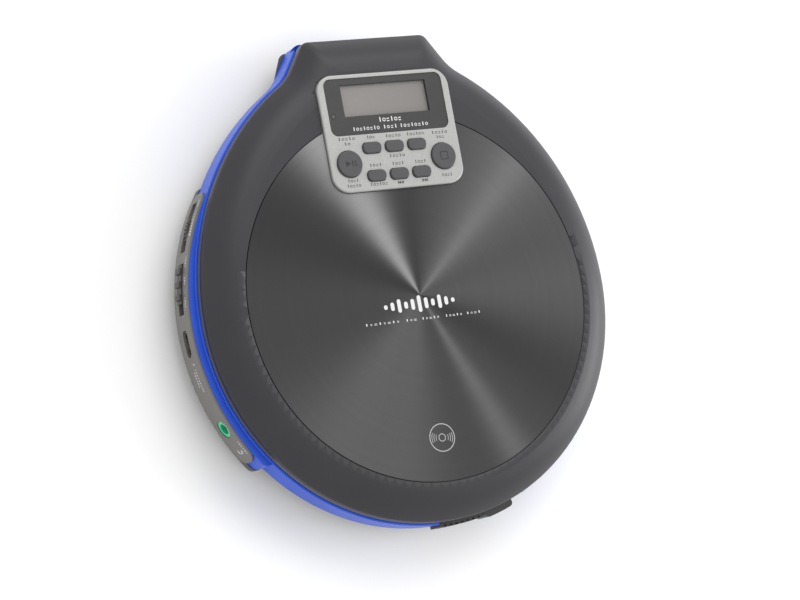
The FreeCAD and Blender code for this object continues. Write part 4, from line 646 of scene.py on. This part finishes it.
def disc_symbol():
    """Outline of a disc with light arcs on it, near the front of the lid."""
    centre = (-1.4, -44.6)
    arc_width = 0.2
    arc_turn = 50
    marks = [lay(ring(inner * MM, outer * MM), *centre, INSERT_TOP)
             for inner, outer in ((4.1, 4.4), (1.0, 1.25))]
    for radius in (2.0, 2.75, 3.45):
        for start in (20, 200):
            light = ring(radius * MM, (radius + arc_width) * MM, start, start + arc_turn)
            marks.append(lay(light, *centre, INSERT_TOP))
    gather("lid_disc_symbol", marks, "lid", "grey_ink")


def window_lines():
    """Two rows of light strokes under the display."""
    top = WINDOW_TOP
    marks = word(0.35, 55.9, 8.2, 1.5, top, 6)
    for centre, width, letters in ((-8.4, 9.6, 8), (0.0, 5.2, 4), (8.4, 10.2, 8)):
        marks += word(centre, 53.5, width, 1.15, top, letters)
    gather("window_print", marks, "lid", "white_ink")


def skip_sign(x, y, way):
    """Bar and two triangles, pointing back or on."""
    marks = [lay(triangle(0.62 * MM), x - way * 0.1, y, BEZEL_TOP, 0 if way > 0 else 180),
             lay(triangle(0.62 * MM), x + way * 0.85, y, BEZEL_TOP, 0 if way > 0 else 180),
             lay(bar(0.22 * MM, 1.15 * MM), x + way * 1.45, y, BEZEL_TOP)]
    return marks


def panel_print():
    """Dark strokes and signs round the buttons."""
    marks = []
    for x, y, width, letters in (
            (-16.0, 50.6, 6.0, 5), (-16.0, 49.0, 2.4, 2), (16.6, 50.3, 5.8, 5), (16.6, 48.8, 3.0, 3),
            (-7.6, 50.6, 3.0, 3), (0.2, 50.5, 5.6, 5), (8.1, 50.5, 6.4, 6), (0.4, 44.1, 5.6, 5),
            (-7.6, 41.7, 4.4, 4), (0.2, 41.6, 4.4, 4), (8.1, 41.6, 4.2, 4), (-7.6, 35.7, 6.2, 6),
            (-16.2, 37.4, 4.0, 4), (-16.2, 35.8, 5.0, 5), (16.6, 36.6, 4.0, 4)):
        marks += word(x, y, width, 1.0, BEZEL_TOP, letters)
    marks += skip_sign(0.6, 35.5, -1) + skip_sign(8.0, 35.5, 1)
    gather("panel_print", marks, "lid", "dark_ink")


def key_centre(node):
    """Middle of a key, in millimetres from the spindle."""
    low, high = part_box(node)
    centre = (low + high) / 2 - SPINDLE
    return centre.x / MM, centre.y / MM


def key_marks():
    """Signs printed on the crowns of the two round keys."""
    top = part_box("play_button")[1].z
    x, y = key_centre("play_button")
    play = [lay(triangle(1.1 * MM), x - 1.0, y, top), lay(bar(0.32 * MM, 1.9 * MM), x + 0.75, y, top),
            lay(bar(0.32 * MM, 1.9 * MM), x + 1.75, y, top)]
    gather("play_key_sign", play, "play_key", "engraving")
    x, y = key_centre("stop_button")
    side = 2.4
    line = 0.26
    edges = [lay(bar(side * MM, line * MM), x, y + way * side / 2, top) for way in (-1, 1)]
    edges += [lay(bar(line * MM, side * MM), x + way * side / 2, y, top) for way in (-1, 1)]
    gather("stop_key_sign", edges, "stop_key", "engraving")


# ---------------------------------------------------------------- marks on the side
SIDE_PITCH = 0.85 * MM
SIDE_ROW = 0.75 * MM
PHONES_ANGLE = 211.8


def side_word(angle, height, letters):
    """Row of small strokes along the side panel, starting at an angle."""
    marks = []
    for i in range(letters):
        along = SIDE_PITCH * i
        if i % 3 == 1:
            marks.append(stand(ring(0.2 * MM, 0.34 * MM), angle, height, along=along))
        elif i % 3 == 0:
            marks.append(stand(bar(0.18 * MM, 0.85 * MM), angle, height, along=along))
        else:
            marks += [stand(bar(0.52 * MM, 0.17 * MM), angle, height + level * MM, along=along)
                      for level in (-0.32, 0.1)]
    return marks


def side_print():
    """White signs by the wheel, the switch and the two sockets."""
    above = SIDE_HIGH.z - 1.3 * MM
    middle = (SIDE_LOW.z + SIDE_HIGH.z) / 2
    marks = side_word(148.6, above, 3)
    for i in range(8):
        marks.append(stand(bar(0.55 * MM, (0.25 + 0.12 * i) * MM), 152.2 + 0.75 * i, above))
    for angle, letters in ((163.2, 4), (168.2, 3), (173.0, 4)):
        marks += side_word(angle, above, letters)
    marks += side_word(190.0, middle + SIDE_ROW, 9) + side_word(190.6, middle - SIDE_ROW, 6)
    marks.append(stand(triangle(0.5 * MM), 188.7, middle + SIDE_ROW, turn=180))
    marks += side_word(209.6, above, 6)
    phones = middle + 0.2 * MM
    marks.append(stand(ring(1.05 * MM, 1.3 * MM, -10, 190), PHONES_ANGLE, phones, turn=90))
    for cup in (-1.15 * MM, 1.15 * MM):
        marks.append(stand(bar(0.95 * MM, 0.55 * MM, 0.2 * MM), PHONES_ANGLE, phones + cup, along=0.45 * MM))
    gather("side_print", marks, "player_body", "white_ink")


# ---------------------------------------------------------------- floor, light and camera
FLOOR_SIDE = 6.0
SKY_STRENGTH = 0.95
LENS_MM = 121.26
SENSOR_MM = 36.0
CAMERA_FROM_SPINDLE = Vector((-0.38945, -0.09984, 0.72731))
CAMERA_TURN = [math.radians(angle) for angle in (12.064, -26.014, -11.465)]


def sweep_floor():
    bpy.ops.mesh.primitive_plane_add(size=FLOOR_SIDE, location=(0, 0, 0))
    floor = bpy.context.object
    floor.name = "floor"
    finish = Finish("floor_paper")
    grain = finish.noise(finish.place(), 40.0, 2.0)
    finish.surface(Base_Color=finish.mix(grain, (0.90, 0.90, 0.90), (0.92, 0.92, 0.92)), Roughness=0.8)
    floor.data.materials.append(finish.material)


def lamp(name, place, aim, size, power):
    """Rectangular soft light."""
    data = bpy.data.lights.new(name, "AREA")
    data.shape = "RECTANGLE"
    data.size, data.size_y = size
    data.energy = power
    data.color = WHITE
    light = bpy.data.objects.new(name, data)
    bpy.context.scene.collection.objects.link(light)
    light.location = place
    light.rotation_euler = (aim - Vector(place)).to_track_quat("-Z", "Y").to_euler()


def studio():
    world = bpy.data.worlds.new("studio")
    world.use_nodes = True
    world.node_tree.nodes["Background"].inputs["Color"].default_value = (*WHITE, 1.0)
    world.node_tree.nodes["Background"].inputs["Strength"].default_value = SKY_STRENGTH
    bpy.context.scene.world = world
    lamp("key_light", (0.25, 0.85, 0.95), LID_CENTRE, (1.1, 0.9), 6.0)
    lamp("right_light", (1.0, -0.15, 0.35), LID_CENTRE, (0.5, 0.9), 6.0)
    bpy.context.scene.view_settings.view_transform = "Standard"


def camera():
    data = bpy.data.cameras.new("camera")
    data.lens = LENS_MM
    data.sensor_width = SENSOR_MM
    view = bpy.data.objects.new("camera", data)
    bpy.context.scene.collection.objects.link(view)
    view.location = LID_CENTRE + CAMERA_FROM_SPINDLE
    view.rotation_euler = CAMERA_TURN
    bpy.context.scene.camera = view


camera()
studio()
deselect()
for finish_name, node_names in CAD_FINISHES.items():
    for node_name in node_names:
        coat(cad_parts[node_name], finish_name)
smooth_lid()
emblem()
disc_symbol()
window_lines()
panel_print()
key_marks()
side_print()
sweep_floor()
